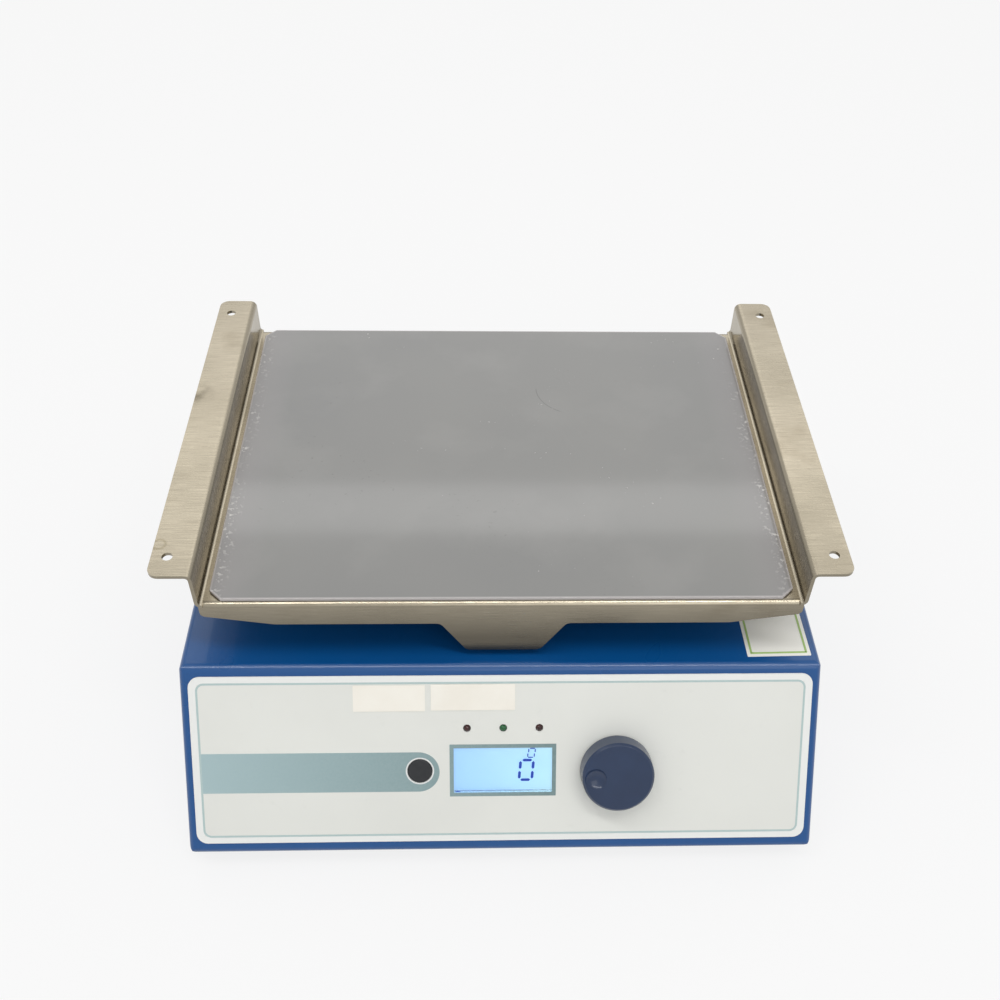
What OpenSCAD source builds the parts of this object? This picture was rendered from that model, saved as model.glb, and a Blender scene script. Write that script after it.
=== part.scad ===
// Rocking platform shaker with a sloping control console.
// Right is +X, the rear is +Y and up is +Z; the origin is on the bench under the middle of the case.

/* [Case] */
// Width of the painted case
housing_w = 282; // [250:1:340]
// Depth of the painted case, rounded front edge to rear edge
housing_d = 262; // [256:1:320]
// Height of the painted case without its feet
housing_h = 74.5; // [68:0.5:95]
// Lean of the console away from upright, in degrees
console_lean = 34; // [26:1:42]
// Thickness of the case sheet
case_t = 1.2; // [0.8:0.1:1.8]
// Outside radius of the folded case edges
edge_r = 3; // [2.2:0.1:5]
// Outside radius of the fold between the case top and the console
top_fold_r = 5; // [3:0.1:6]
// Radius of the console's two lower corners
nose_corner_r = 5; // [3:0.1:8]
// Width of the lip turned in under the case
lip_w = 12; // [9:1:18]
// Thickness of the base plate
base_t = 1.5; // [1:0.1:2.5]
// Distance that the rear panel is set in from the case's rear edge
rear_inset = 8; // [6.5:0.5:12]
// Height of the rubber feet
foot_h = 8; // [5:0.5:14]
// Radius of a rubber foot at its top
foot_r = 11; // [8:0.5:14]
// Distance from the case's sides to the middle of a foot
foot_inset = 27; // [22:1:36]

/* [Platform] */
// Width of the platform over its side flanges
platform_w = 290; // [270:1:320]
// Depth of the case that the platform leaves uncovered, front and rear together
platform_short = 62; // [50:1:72]
// Thickness of the platform sheet
tray_t = 1.5; // [1:0.1:2]
// Width of the flange on each side, from the wall's outer face
flange_w = 16.5; // [14:0.5:22]
// Height of the side flange's top above the tray floor
flange_h = 17.7; // [12:0.1:24]
// Height of the tray floor above the case top
tray_rise = 33.5; // [33:0.5:42]
// Distance from the console's fold back to the platform's front face
tray_setback = 6; // [4:0.1:14]
// Radius of the flanges' outer corners
flange_corner_r = 4.5; // [2:0.1:8]
// Inside radius of the platform's folds
fold_r = 1.5; // [1:0.1:2.5]
// Depth of the apron folded down at the front and rear
apron_h = 12; // [9:0.5:14]
// Width of the apron's full-depth middle part
apron_flat_w = 194; // [150:1:220]
// Gap between the apron's end and the wall's outer face
apron_end_gap = 1.2; // [0.6:0.1:3]
// Depth of the guard tab below the tray floor
tab_h = 29.4; // [24:0.1:31]
// Width of the guard tab where it leaves the apron
tab_top_w = 54; // [46:1:70]
// Width of the guard tab at its foot
tab_foot_w = 32; // [26:1:44]
// Radius of a strap hole in the flange
strap_hole_r = 2.25; // [1.5:0.05:3]
// Distance from the flange's outer edge to a strap hole
strap_inset_x = 6.7; // [5:0.1:9]
// Distance from the platform's front or rear edge to a strap hole
strap_inset_y = 11.2; // [8:0.1:20]
// Gap between the mat and the side walls
mat_side_gap = 3.5; // [2.7:0.1:12]
// Gap between the mat's edge and the front or rear face of the platform
mat_front_gap = 2.2; // [1:0.1:12]
// Thickness of the mat
mat_t = 1.5; // [0.8:0.1:3]
// Cut corner of the mat
mat_corner = 5.3; // [2:0.1:10]

/* [Rocking drive] */
// Largest tilt of the platform each way, in degrees
tilt_max = 10; // [6:0.5:10]
// Height of the rocking axis above the case top
pivot_rise = 13.5; // [12.5:0.1:15]
// Depth of the crank's axis below the case top
crank_drop = 18; // [17.5:0.1:22]
// Radius of the pivot shaft
shaft_r = 4; // [3:0.1:5]
// Distance from a snap ring's outer side to the end of the inner bridge
shaft_margin = 2.8; // [2.2:0.1:8]
// Thickness of the rocker beam's sheet
beam_t = 2.5; // [2:0.1:3]
// Width of the rocker beam
beam_w = 44; // [36:1:56]
// Radius of a beam cheek's round foot
cheek_r = 11; // [8:0.5:11.5]
// Length of a pivot block along the shaft
block_l = 18; // [12:1:22]
// Radius of a pivot block's round head
block_r = 11; // [9:0.5:12]
// Width of a pivot block's foot
block_w = 50; // [46:1:60]
// Thickness of a pivot block's foot
block_foot_t = 6; // [4:0.5:8]
// Wall of a bronze bush
bush_t = 2; // [1.2:0.1:3]
// Width and thickness of a bush's flange
bush_flange = 1.5; // [1:0.1:2]
// Thickness of a thrust washer
washer_t = 1; // [0.6:0.1:2]
// Distance from the platform's middle forward to the fork's middle
fork_offset = 15; // [10:1:22]
// Thickness of the drive fork
fork_t = 6; // [5:0.5:7]
// Width of each prong of the drive fork
prong_w = 4.5; // [3:0.5:6]
// Play on each side of the crank roller in the fork
fork_play = 1.2; // [1.15:0.05:1.6]
// Radius of the crank roller
roller_r = 5; // [4:0.1:6]
// Radius of the crank pin's journal
pin_r = 2; // [1.5:0.1:2.5]
// Radius of the crank disc
crank_disc_r = 11.5; // [10:0.1:12]
// Thickness of the crank disc
crank_disc_t = 6; // [4:0.5:8]
// Radius of the slotted speed disc
speed_disc_r = 14; // [13:0.1:14.5]
// Radius of the gearmotor's output shaft
output_r = 3; // [2:0.1:3.5]
// Radius of the gearbox
gearbox_r = 18.5; // [17:0.5:20]
// Length of the gearbox
gearbox_l = 26; // [20:1:32]
// Height of the output shaft above the gearbox's own axis
gearbox_offset = 7; // [4:0.5:8]
// Radius of the motor can
motor_r = 17.2; // [14:0.1:18]
// Gap between the motor can and the rear panel
motor_gap = 22.6; // [12:0.1:30]
// Thickness of the motor bracket's sheet
bracket_t = 3; // [2:0.1:4]
// Thickness of the inner bridge's sheet
bridge_t = 2; // [1.5:0.1:3]
// Inside width of the inner bridge
bridge_w = 76; // [68:1:84]
// Distance from the end of the inner bridge to the platform's rear face
bridge_gap = 20; // [18:0.1:24]

/* [Console] */
// Margin of painted sheet above the front overlay and at its sides
overlay_margin = 4; // [2:0.1:8]
// Margin of flat painted sheet below the front overlay
overlay_foot = 2.3; // [0.5:0.1:6]
// Thickness of the front overlay
overlay_t = 0.5; // [0.3:0.1:1]
// Corner radius of the front overlay
overlay_r = 5; // [2:0.5:8]
// Distance down the slope from the fold to the row of controls
controls_drop = 48.2; // [46:0.1:51]
// Distance down the slope from the fold to the row of lamps
lamps_drop = 28.3; // [24:0.1:30]
// Distance between neighbouring lamps
lamp_pitch = 16; // [10:0.1:20]
// Radius of a lamp
lamp_r = 1.5; // [1:0.1:2]
// Width of the display window
display_w = 43.8; // [36:0.1:46]
// Height of the display window
display_h = 21.1; // [16:0.1:24]
// Position of the knob to the right of the middle
knob_x = 50.5; // [48:0.1:56]
// Radius of the knob at its face
knob_r = 15.9; // [12:0.1:17]
// Height of the knob's face above the overlay
knob_h = 10.3; // [9:0.1:14]
// Radius of the knob's finger dimple
dimple_r = 4.85; // [3:0.05:5]
// Inward travel of the knob
knob_travel = 0.5; // [0.3:0.1:0.6]
// Position of the mode button to the left of the middle
button_x = 37; // [35:0.1:44]
// Radius of the mode button
button_r = 5.4; // [4:0.1:6.5]
// Inward travel of the mode button
button_travel = 0.4; // [0.2:0.1:0.5]
// Space between the console sheet and the control board
board_gap = 10; // [9:0.5:12]
// Thickness of the circuit boards
board_t = 1.6; // [1:0.1:2.4]
// Width of the control board
board_w = 140; // [138:1:160]
// Height of the control board
board_h = 56; // [54:1:58]

/* [Rear panel] */
// Distance from the case's left side to the middle of the mains inlet
inlet_margin = 41; // [37:1:45]
// Distance between the middles of the mains inlet and the power switch
switch_pitch = 36; // [34:1:40]
// Height of the inlet and the switch above the case's bottom
inlet_z = 28; // [24:1:30]
// Height of the fuse cap above the case's bottom
fuse_z = 52; // [48:1:54]
// Angle between the power switch's two positions, in degrees
switch_throw = 16; // [10:1:18]
// Number of ventilation slots in the rear panel
vent_count = 12; // [4:1:14]
// Distance between neighbouring ventilation slots
vent_pitch = 7; // [6:0.5:8]
// Width of a ventilation slot
vent_w = 3; // [2:0.5:4]
// Length of a ventilation slot
vent_l = 30; // [16:1:34]

/* [Hidden] */
$fn = 48;
fit = 0.03;            // radial clearance of a shaft in its bore
gap = 0.3;             // clearance between neighbouring pieces
screw_r = 1.5;         // shank radius of the small screws
screw_head_r = 2.8;    // head radius of the small screws
screw_head_h = 2;      // head height of the small screws
corner_steps = 6;      // facets in a drawn corner

case_z = foot_h + base_t;
top_z = case_z + housing_h;
inner_top_z = top_z - case_t;
tray_z = top_z + tray_rise;
pivot_z = top_z + pivot_rise;
crank_z = top_z - crank_drop;
arm_l = pivot_rise + crank_drop;
crank_r = arm_l * tan(tilt_max);

// The rounded front edge reaches housing_d / 2, so the sharp corner lies a little in front of it.
nose_cut = edge_r * ((1 + sin(console_lean)) / cos(console_lean) - 1);
front_y = -housing_d / 2 - nose_cut;
rear_y = housing_d / 2;
fold_y = front_y + housing_h * tan(console_lean);
// Flat length of the console, from its fold to where the front edge starts to round
slant_flat = (housing_h - edge_r * (1 + sin(console_lean))) / cos(console_lean);
platform_d = housing_d - platform_short;
tray_front_y = fold_y + tray_setback;
tray_y = tray_front_y + platform_d / 2;
wall_x = platform_w / 2 - flange_w;
tray_under_z = tray_z - tray_t;
fold_out_r = fold_r + tray_t;

// Stations along the pivot shaft, measured from the platform's middle: the inner bridge is shorter
// than the platform, and the blocks, bushes and beam cheeks follow inwards from its ends.
rear_panel_y = rear_y - rear_inset;
rear_inner_y = rear_panel_y - case_t;
bridge_l = platform_d - 2 * bridge_gap;
clip_t = 0.8;
clip_y = bridge_l / 2 - shaft_margin - clip_t;
block_y = clip_y - gap - block_l;
bush_y = block_y - bush_flange;
cheek_y = bush_y - gap - washer_t - gap;
shaft_end = clip_y + clip_t + 2;
clip_groove_r = shaft_r - 0.6;
bush_out_r = shaft_r + bush_t;
block_screw_r = 2.5;
block_screw_x = (block_r + block_w / 2) / 2;

// Stations of the drive train from front to rear.
fork_y = tray_y - fork_offset;
roller_l = fork_t - 0.6;
pin_collar = 1.8;
disc_y = fork_y + roller_l / 2 + pin_collar;
speed_disc_t = 0.6;
boss_l = 6;
boss_r = 6;
boss_y = disc_y + crank_disc_t + speed_disc_t + 0.5;
gearbox_y = boss_y + boss_l;
motor_y = gearbox_y + gearbox_l;
motor_l = rear_inner_y - motor_gap - motor_y;
motor_tail = 3;
gearbox_z = crank_z - gearbox_offset;
gearbox_bolt_r = gearbox_r - 3;
bracket_foot = 22;
slot_hw = roller_r + fork_play;
fork_w = 2 * (slot_hw + prong_w);
fork_lead = 3;
fork_foot = arm_l + crank_r + roller_r + fork_lead / 3;
set_screw_r = 2;
hatch_w = fork_w / cos(tilt_max) + 2 * (pivot_rise + case_t + bridge_t) * tan(tilt_max) + 2;
hatch_l = fork_t + 4;

// Base plate, inner bridge and rear panel
base_slot_w = 3.4;
base_slot_l = 46;
base_slot_pitch = 9;
base_slot_x = 34;
foot_screw_r = 2;
foot_head_r = 4;
foot_head_h = 2.4;
foot_recess = 3;
bridge_web_z = inner_top_z - bridge_t;
bridge_foot_w = 14;
rear_foot_l = 12;

// Mains inlet with its socket, power switch and fuse holder
inlet_x = housing_w / 2 - inlet_margin;
switch_x = inlet_x - switch_pitch;
inlet_w = 27.2;
inlet_h = 19.6;
inlet_flange_w = 48;
inlet_flange_h = 25;
inlet_flange_t = 2.6;
inlet_depth = 20;
inlet_screw_pitch = 40;
socket_w = 24.4;
socket_h = 16.6;
socket_depth = 16;
blade_w = 4;
blade_t = 2;
blade_tail = 5;
switch_body_w = 12.8;
switch_body_h = 19.2;
switch_bezel = 1.2;
switch_depth = 14;
switch_axis_in = 3;
switch_cap_hw = switch_body_w / 2 - switch_bezel - gap;
switch_cap_hl = switch_body_h / 2 - switch_bezel - 0.6;
fuse_r = 6;
fuse_stem_r = 4.4;
fuse_cap_r = 7;
fuse_cap_h = 6;
fuse_depth = 26;

// Heights in the console's own frame, and the pieces on its control board
board_z = -case_t - board_gap;
board_x = 10;
board_y = -controls_drop + 2;
board_hole_inset = 4;
display_wall = 1.6;
glass_t = 2.8;
glass_w = display_w + 5;
glass_h = display_h + 5;
mode_switch_h = 3.6;
mode_switch_top_z = board_z + mode_switch_h;
stem_r = 1.7;
encoder_w = 13;
encoder_t = 6.8;
encoder_floor = 1;
encoder_shaft_r = 3;
encoder_bore_r = encoder_shaft_r + 0.05;
plunger_t = 1;
plunger_z = board_z + encoder_floor + 0.8;
bushing_r = 4;
nut_t = 2;
knob_gap = 0.9;
knob_bevel = 1;
dimple_fall = 0.6;
knob_bottom_z = overlay_t + knob_gap;
knob_top_z = overlay_t + knob_h;
knob_web_z = overlay_t + nut_t + 1.6 + knob_travel;

// Power board with its pieces, and the ribbon cable that joins the two boards
power_board_gap = 7;
power_board_x = bridge_w / 2 + bridge_foot_w + 4;
power_board_w = housing_w / 2 - lip_w - power_board_gap - power_board_x;
power_board_l = 110;
power_board_y = tray_y - power_board_l / 2;
power_spacer_h = 6;
power_board_z = case_z + power_spacer_h;
power_parts_z = power_board_z + board_t;
spacer_r = 3.2;
core_l = 40;
power_parts_x = power_board_x + (power_board_w - core_l) / 2;
core_w = 16;
core_h = 30;
coil_out = 6;
fin_count = 6;
fin_t = 1.6;
fin_h = 20;
sink_w = 14;
sink_base_t = 3;
capacitor_r = 7;
capacitor_h = 22;
capacitor_x = power_board_x + power_board_w / 2;
capacitor_y = 44;
capacitor_pitch = 22;
cable_x = power_board_x + 4;
cable_w = 18;
cable_t = 0.9;
cable_rise = 10;
plug_w = 7;
plug_t = 7;
plug_drop = 52;
board_plug_y = power_board_y + 12;
board_plug_top = power_parts_z + plug_t;

// ---------------------------------------------------------------- drawing helpers

// Unit vector from p to q
function heading(p, q) = (q - p) / norm(q - p);

// A unit vector turned a quarter to its left
function leftward(v) = [-v[1], v[0]];

// Arc that rounds corner b, between a and c, to radius r
function arc_corner(a, b, c, r) =
    let (u = heading(b, a), v = heading(b, c), half = acos(u * v) / 2)
    let (centre = b + (u + v) / norm(u + v) * r / sin(half))
    let (s = b + u * r / tan(half) - centre, e = b + v * r / tan(half) - centre)
    let (turn = atan2(s[0] * e[1] - s[1] * e[0], s * e), start = atan2(s[1], s[0]))
    [for (k = [0 : corner_steps])
        centre + r * [cos(start + turn * k / corner_steps), sin(start + turn * k / corner_steps)]];

// Outline through [x, y, radius] corners
function rounded(p) =
    let (n = len(p), xy = [for (q = p) [q[0], q[1]]])
    [for (i = [0 : n - 1])
        each p[i][2] > 0 ? arc_corner(xy[(i + n - 1) % n], xy[i], xy[(i + 1) % n], p[i][2]) : [xy[i]]];

// Point i of path p moved t to its left, mitred at a bend
function mitred(p, i, t) =
    let (n = len(p))
    let (a = leftward(heading(p[max(i - 1, 0)], p[max(i, 1)])))
    let (b = leftward(heading(p[min(i, n - 2)], p[min(i + 1, n - 1)])))
    p[i] + t * (a + b) / (1 + a * b);

// Inside radius r or outside radius r + t at bend i, for the path's right or left side
function bend_r(p, i, t, r, side) =
    i == 0 || i == len(p) - 1 ? 0 :
    let (u = heading(p[i - 1], p[i]), v = heading(p[i], p[i + 1]))
    side * (u[0] * v[1] - u[1] * v[0]) > 0 ? r : r + t;

// Outline of a sheet t thick, bent along path p on its right side
function sheet_outline(p, t, r) =
    let (n = len(p))
    let (right = [for (i = [0 : n - 1]) [p[i][0], p[i][1], bend_r(p, i, t, r, -1)]])
    let (left = [for (i = [n - 1 : -1 : 0])
        let (q = mitred(p, i, t)) [q[0], q[1], bend_r(p, i, t, r, 1)]])
    rounded(concat(right, left));

// Outline mirrored about x = 0: the right half from top to bottom, then the left half
function both_sides(half) =
    concat(half, [for (i = [len(half) - 1 : -1 : 0]) [-half[i][0], half[i][1], half[i][2]]]);

// Rectangle about the origin with rounded corners
function round_rect(w, h, r) =
    rounded([[w / 2, h / 2, r], [-w / 2, h / 2, r], [-w / 2, -h / 2, r], [w / 2, -h / 2, r]]);

// Extrude an outline drawn in X and Z along Y
module along_y(y0, l) { translate([0, y0 + l, 0]) rotate([90, 0, 0]) linear_extrude(l) children(); }

// Extrude an outline drawn in Y and Z along X
module along_x(x0, l) { translate([x0, 0, 0]) rotate([90, 0, 90]) linear_extrude(l) children(); }

// Cylinder along Y
module rod_y(x, y0, z, r, l) { translate([x, y0 + l, z]) rotate([90, 0, 0]) cylinder(r = r, h = l); }

// Cylinder along X with its middle at x
module rod_x(x, y, z, r, l) { translate([x - l / 2, y, z]) rotate([0, 90, 0]) cylinder(r = r, h = l); }

// Children in the console's own frame: X right, Y up the slope, Z out of the face, from the fold
module on_console(x = 0, y = 0) {
    translate([0, fold_y, top_z]) rotate([90 - console_lean, 0, 0]) translate([x, y, 0]) children();
}

// Point of the console's own frame as Y and Z of the case
function console_point(y, z) = [
    fold_y + y * sin(console_lean) - z * cos(console_lean),
    top_z + y * cos(console_lean) + z * sin(console_lean)
];

// Pan-head screw, its head's underside at the origin and its shank along -Z
module pan_screw(l, r = screw_r, head_r = screw_head_r, head_h = screw_head_h) {
    difference() {
        union() {
            translate([0, 0, -l]) cylinder(r = r, h = l + head_h / 2);
            cylinder(r1 = head_r, r2 = head_r * 0.8, h = head_h);
        }
        translate([-head_r, -0.4, head_h * 0.6]) cube([2 * head_r, 0.8, head_h]);
    }
}

// Children at the four corners of a rectangle w by h
module four(w, h) {
    for (x = [-w / 2, w / 2], y = [-h / 2, h / 2]) translate([x, y, 0]) children();
}

// ---------------------------------------------------------------- case

// Side view of the case with every face moved in by inset, running back to y1
function case_profile(inset, y1) =
    let (r = edge_r - inset, z0 = case_z + inset, z1 = top_z - inset, slope = inset / cos(console_lean))
    rounded([
        [front_y + slope + inset * tan(console_lean), z0, r], [y1, z0, 0],
        [y1, z1, 0], [fold_y + slope - inset * tan(console_lean), z1, top_fold_r - inset]
    ]);

// Block of the case with rounded edges: its side view, cut by a rounded front view, by a rounded
// section square to the console's slope and by the console's own outline with its lower corners
module case_block(inset, y1) {
    r = edge_r - inset;
    corner_r = nose_corner_r - inset;
    x = housing_w / 2 - inset;
    foot = slant_flat + edge_r - inset + gap;
    far = 2 * housing_d;
    intersection() {
        along_x(-x, 2 * x) polygon(case_profile(inset, y1));
        along_y(-far, 2 * far) polygon(rounded([
            [x, top_z - inset, r], [-x, top_z - inset, r], [-x, case_z + inset, r], [x, case_z + inset, r]
        ]));
        on_console() along_y(-far, 2 * far)
            polygon(rounded([[x, -inset, r], [-x, -inset, r], [-x, -far, 0], [x, -far, 0]]));
        on_console() translate([0, 0, -far]) linear_extrude(2 * far)
            polygon(rounded([[x, far, 0], [-x, far, 0], [-x, -foot, corner_r], [x, -foot, corner_r]]));
    }
}

// Middles of the base screws
function base_screw_places() = [
    for (x = [-1, 1], y = [-1, 0, 1]) [
        x * (housing_w / 2 - lip_w / 2 - 1),
        y * (housing_d / 2 - 26) + 3
    ]
];

module base_hole_row(r) {
    for (p = base_screw_places())
        translate([p[0], p[1], foot_h - 1]) cylinder(r = r, h = base_t + case_t + 2);
}

// Openings in the console for the controls, each grown by g
module console_holes(g, depth) {
    translate([0, 0, -depth / 2]) {
        translate([0, -controls_drop, 0])
            linear_extrude(depth) square([display_w + 2 * g, display_h + 2 * g], center = true);
        translate([knob_x, -controls_drop, 0]) cylinder(r = bushing_r + g, h = depth);
        translate([-button_x, -controls_drop, 0]) cylinder(r = button_r + g, h = depth);
        for (i = [-1 : 1]) translate([i * lamp_pitch, -lamps_drop, 0]) cylinder(r = lamp_r + g, h = depth);
    }
}

// Opening that the drive fork hangs through, from height z up
module hatch(z, h) { translate([-hatch_w / 2, fork_y - hatch_l / 2, z]) cube([hatch_w, hatch_l, h]); }

module cover_shell() {
    color("#1b4a86") difference() {
        case_block(0, rear_y);
        case_block(case_t, rear_y + 1);
        // Open bottom inside the turned lip
        translate([-housing_w / 2 + lip_w, -housing_d / 2 + edge_r + lip_w, case_z - 1])
            cube([housing_w - 2 * lip_w, housing_d + edge_r, case_t + 2]);
        base_hole_row(screw_r + fit);
        // Hatch for the drive fork and holes for the pivot blocks
        hatch(inner_top_z - 1, case_t + 2);
        block_screw_holes(block_screw_r + fit);
        on_console() console_holes(0.2, 4 * case_t);
    }
}

module base_plate() {
    w = housing_w - 2 * edge_r - 2;
    y0 = -housing_d / 2 + 2 * edge_r + 1;
    l = rear_y - 1 - y0;
    color("#8d9296") difference() {
        translate([0, y0 + l / 2, foot_h]) linear_extrude(base_t) polygon(round_rect(w, l, 3));
        base_hole_row(screw_r + fit);
        foot_places() translate([0, 0, foot_h - 1]) cylinder(r = foot_screw_r + fit, h = base_t + 2);
        bridge_screw_places() translate([0, 0, foot_h - 1]) cylinder(r = screw_r + fit, h = base_t + 2);
        spacer_places() translate([0, 0, foot_h - 1]) cylinder(r = screw_r + fit, h = base_t + 2);
        bracket_screw_places() translate([0, 0, foot_h - 1]) cylinder(r = screw_r + fit, h = base_t + 2);
        // Ventilation slots under the electronics
        for (i = [0 : 5])
            translate([-housing_w / 2 + base_slot_x + i * base_slot_pitch, tray_y, foot_h - 1])
                linear_extrude(base_t + 2)
                    polygon(round_rect(base_slot_w, base_slot_l, base_slot_w / 2 - 0.1));
    }
}

module foot_places() {
    for (x = [-1, 1], y = [-1, 1])
        translate([x * (housing_w / 2 - foot_inset), y * (housing_d / 2 - foot_inset - 4), 0]) children();
}

module rubber_feet() {
    color("#1c1d1f") foot_places() rotate_extrude() polygon(rounded([
        [foot_screw_r + gap, foot_h, 0], [foot_screw_r + gap, foot_h - foot_recess, 0],
        [foot_head_r + 1, foot_h - foot_recess, 0], [foot_head_r + 1, 0, 0.4],
        [foot_r - 2.5, 0, 1.2], [foot_r, foot_h, 0]
    ]));
}

module foot_screws() {
    color("#b9bcbf") foot_places() translate([0, 0, foot_h - foot_recess]) mirror([0, 0, 1])
        pan_screw(l = foot_recess + base_t + 3, r = foot_screw_r, head_r = foot_head_r, head_h = foot_head_h);
}

// Screws seen from outside: the base's into the lip, and the mains inlet's
module case_screws() {
    color("#b9bcbf") {
        for (p = base_screw_places())
            translate([p[0], p[1], foot_h]) mirror([0, 0, 1]) pan_screw(l = base_t + case_t + 3);
        for (x = [-1, 1])
            translate([-inlet_x + x * inlet_screw_pitch / 2, rear_panel_y + inlet_flange_t, case_z + inlet_z])
                rotate([-90, 0, 0]) pan_screw(l = inlet_flange_t + case_t + 4);
    }
}

// Outline of the rear panel in X and Z
function rear_outline() =
    let (w = housing_w / 2 - case_t - gap, z0 = case_z + case_t + gap, z1 = inner_top_z - gap)
    rounded(both_sides([
        [w, z1, edge_r], [w, z0, edge_r],
        [housing_w / 2 - lip_w - gap, z0, 0], [housing_w / 2 - lip_w - gap, case_z, 0]
    ]));

module vent_slots() {
    for (i = [0 : vent_count - 1])
        translate([24 + i * vent_pitch, 0, case_z + housing_h / 2])
            rotate([90, 0, 0]) linear_extrude(4 * rear_inset, center = true)
                polygon(round_rect(vent_w, vent_l, vent_w / 2 - 0.1));
}

module rear_panel() {
    foot_hw = housing_w / 2 - lip_w - gap;
    color("#c9ccce") difference() {
        union() {
            along_y(rear_inner_y, case_t) polygon(rear_outline());
            translate([-foot_hw, rear_inner_y - rear_foot_l, case_z])
                cube([2 * foot_hw, rear_foot_l, case_t]);
        }
        translate([0, rear_panel_y, 0]) vent_slots();
        translate([-inlet_x, rear_panel_y, case_z + inlet_z]) inlet_cutout();
        translate([-switch_x, rear_panel_y, case_z + inlet_z])
            cube([switch_body_w + 2 * fit, 4 * case_t, switch_body_h + 2 * fit], center = true);
        rod_y(-switch_x, rear_inner_y - 1, case_z + fuse_z, fuse_r + fit, case_t + 2);
    }
}

// ---------------------------------------------------------------- rear fittings

// Outline of a mains inlet, w by h, with its two lower corners cut
function inlet_shape(w, h) = [
    [w / 2, h / 2], [-w / 2, h / 2], [-w / 2, -h / 2 + 5], [-w / 2 + 5, -h / 2],
    [w / 2 - 5, -h / 2], [w / 2, -h / 2 + 5]
];

module inlet_cutout() {
    rotate([90, 0, 0]) linear_extrude(4 * case_t, center = true)
        polygon(inlet_shape(inlet_w + 2 * fit, inlet_h + 2 * fit));
    for (x = [-1, 1]) rod_y(x * inlet_screw_pitch / 2, -2 * case_t, 0, screw_r + fit, 4 * case_t);
}

module mains_inlet() {
    color("#17181a") translate([-inlet_x, rear_panel_y, case_z + inlet_z]) difference() {
        union() {
            along_y(-inlet_depth, inlet_depth) polygon(inlet_shape(inlet_w, inlet_h));
            along_y(0, inlet_flange_t) polygon(round_rect(inlet_flange_w, inlet_flange_h, 4));
        }
        along_y(inlet_flange_t - socket_depth, socket_depth + 1)
            polygon(inlet_shape(socket_w, socket_h));
        for (x = [-1, 1]) rod_y(x * inlet_screw_pitch / 2, -1, 0, screw_r + fit, inlet_flange_t + 2);
        for (p = inlet_pin_places())
            translate([p[0], -inlet_depth / 2 - 1, p[1]])
                cube([blade_w + 0.2, inlet_depth, blade_t + 0.2], center = true);
    }
}

// Middles of the three blades in the socket
function inlet_pin_places() = [[-7, -1.8], [7, -1.8], [0, 2.4]];

module inlet_pins() {
    color("#d8d2b8") translate([-inlet_x, rear_panel_y, case_z + inlet_z])
        for (p = inlet_pin_places())
            translate([p[0] - blade_w / 2, -inlet_depth - blade_tail, p[1] - blade_t / 2])
                cube([blade_w, inlet_depth + blade_tail - 3, blade_t]);
}

module switch_frame() {
    w = switch_body_w + 2 * switch_bezel;
    h = switch_body_h + 2 * switch_bezel;
    color("#17181a") translate([-switch_x, rear_panel_y, case_z + inlet_z]) difference() {
        union() {
            along_y(-switch_depth, switch_depth) square([switch_body_w, switch_body_h], center = true);
            along_y(0, 2) polygon(round_rect(w, h, 1));
        }
        along_y(2 - switch_depth, switch_depth + 1)
            square([switch_body_w - 2 * switch_bezel, switch_body_h - 2 * switch_bezel], center = true);
        rod_x(0, -switch_axis_in, 0, 1 + fit, switch_body_w - 1);
    }
}

// The rocker rests with its upper end pressed in
module switch_rocker() {
    color("#222326") translate([-switch_x, rear_panel_y - switch_axis_in, case_z + inlet_z])
        rotate([switch_throw / 2, 0, 0]) {
            along_x(-switch_cap_hw, 2 * switch_cap_hw) polygon(rounded([
                [-2.2, -2.2, 1], [1, -switch_cap_hl + 0.4, 0], [6.2, -switch_cap_hl + 0.4, 0.8],
                [4.6, 0, 8], [6.2, switch_cap_hl - 0.4, 0.8], [1, switch_cap_hl - 0.4, 0],
                [-2.2, 2.2, 1]
            ]));
            rod_x(0, 0, 0, 1, switch_body_w - 1.4);
        }
}

module fuse_holder() {
    color("#17181a") translate([-switch_x, rear_panel_y, case_z + fuse_z]) rotate([-90, 0, 0])
        rotate_extrude() polygon(rounded([
            [0, -fuse_depth, 0], [fuse_r, -fuse_depth, 1], [fuse_r, 0, 0], [fuse_cap_r + 1.5, 0, 0],
            [fuse_cap_r + 1.5, 1.6, 0.5], [fuse_stem_r + fit, 2, 0], [fuse_stem_r + fit, 3 - fuse_depth, 0],
            [0, 3 - fuse_depth, 0]
        ]));
}

// Bayonet cap with a coin slot
module fuse_cap() {
    color("#17181a") translate([-switch_x, rear_panel_y, case_z + fuse_z]) rotate([-90, 0, 0]) difference() {
        rotate_extrude() polygon(rounded([
            [0, 4 - fuse_depth, 0], [fuse_stem_r, 4 - fuse_depth, 0], [fuse_stem_r, 2 + gap, 0],
            [fuse_cap_r, 2 + gap, 0], [fuse_cap_r - 0.4, fuse_cap_h, 0.6], [0, fuse_cap_h, 0]
        ]));
        translate([-0.8, -4.5, fuse_cap_h - 1.2]) cube([1.6, 9, 2]);
    }
}

// ---------------------------------------------------------------- inner frame and pivots

// Sheet path of the inner bridge in X and Z, along its under side
function bridge_path() = [
    [-bridge_w / 2 - bridge_foot_w, case_z], [-bridge_w / 2, case_z], [-bridge_w / 2, bridge_web_z],
    [bridge_w / 2, bridge_web_z], [bridge_w / 2, case_z], [bridge_w / 2 + bridge_foot_w, case_z]
];

module bridge_screw_places() {
    translate([0, tray_y, 0]) four(bridge_w + bridge_foot_w + bridge_t, bridge_l - 24) children();
}

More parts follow.
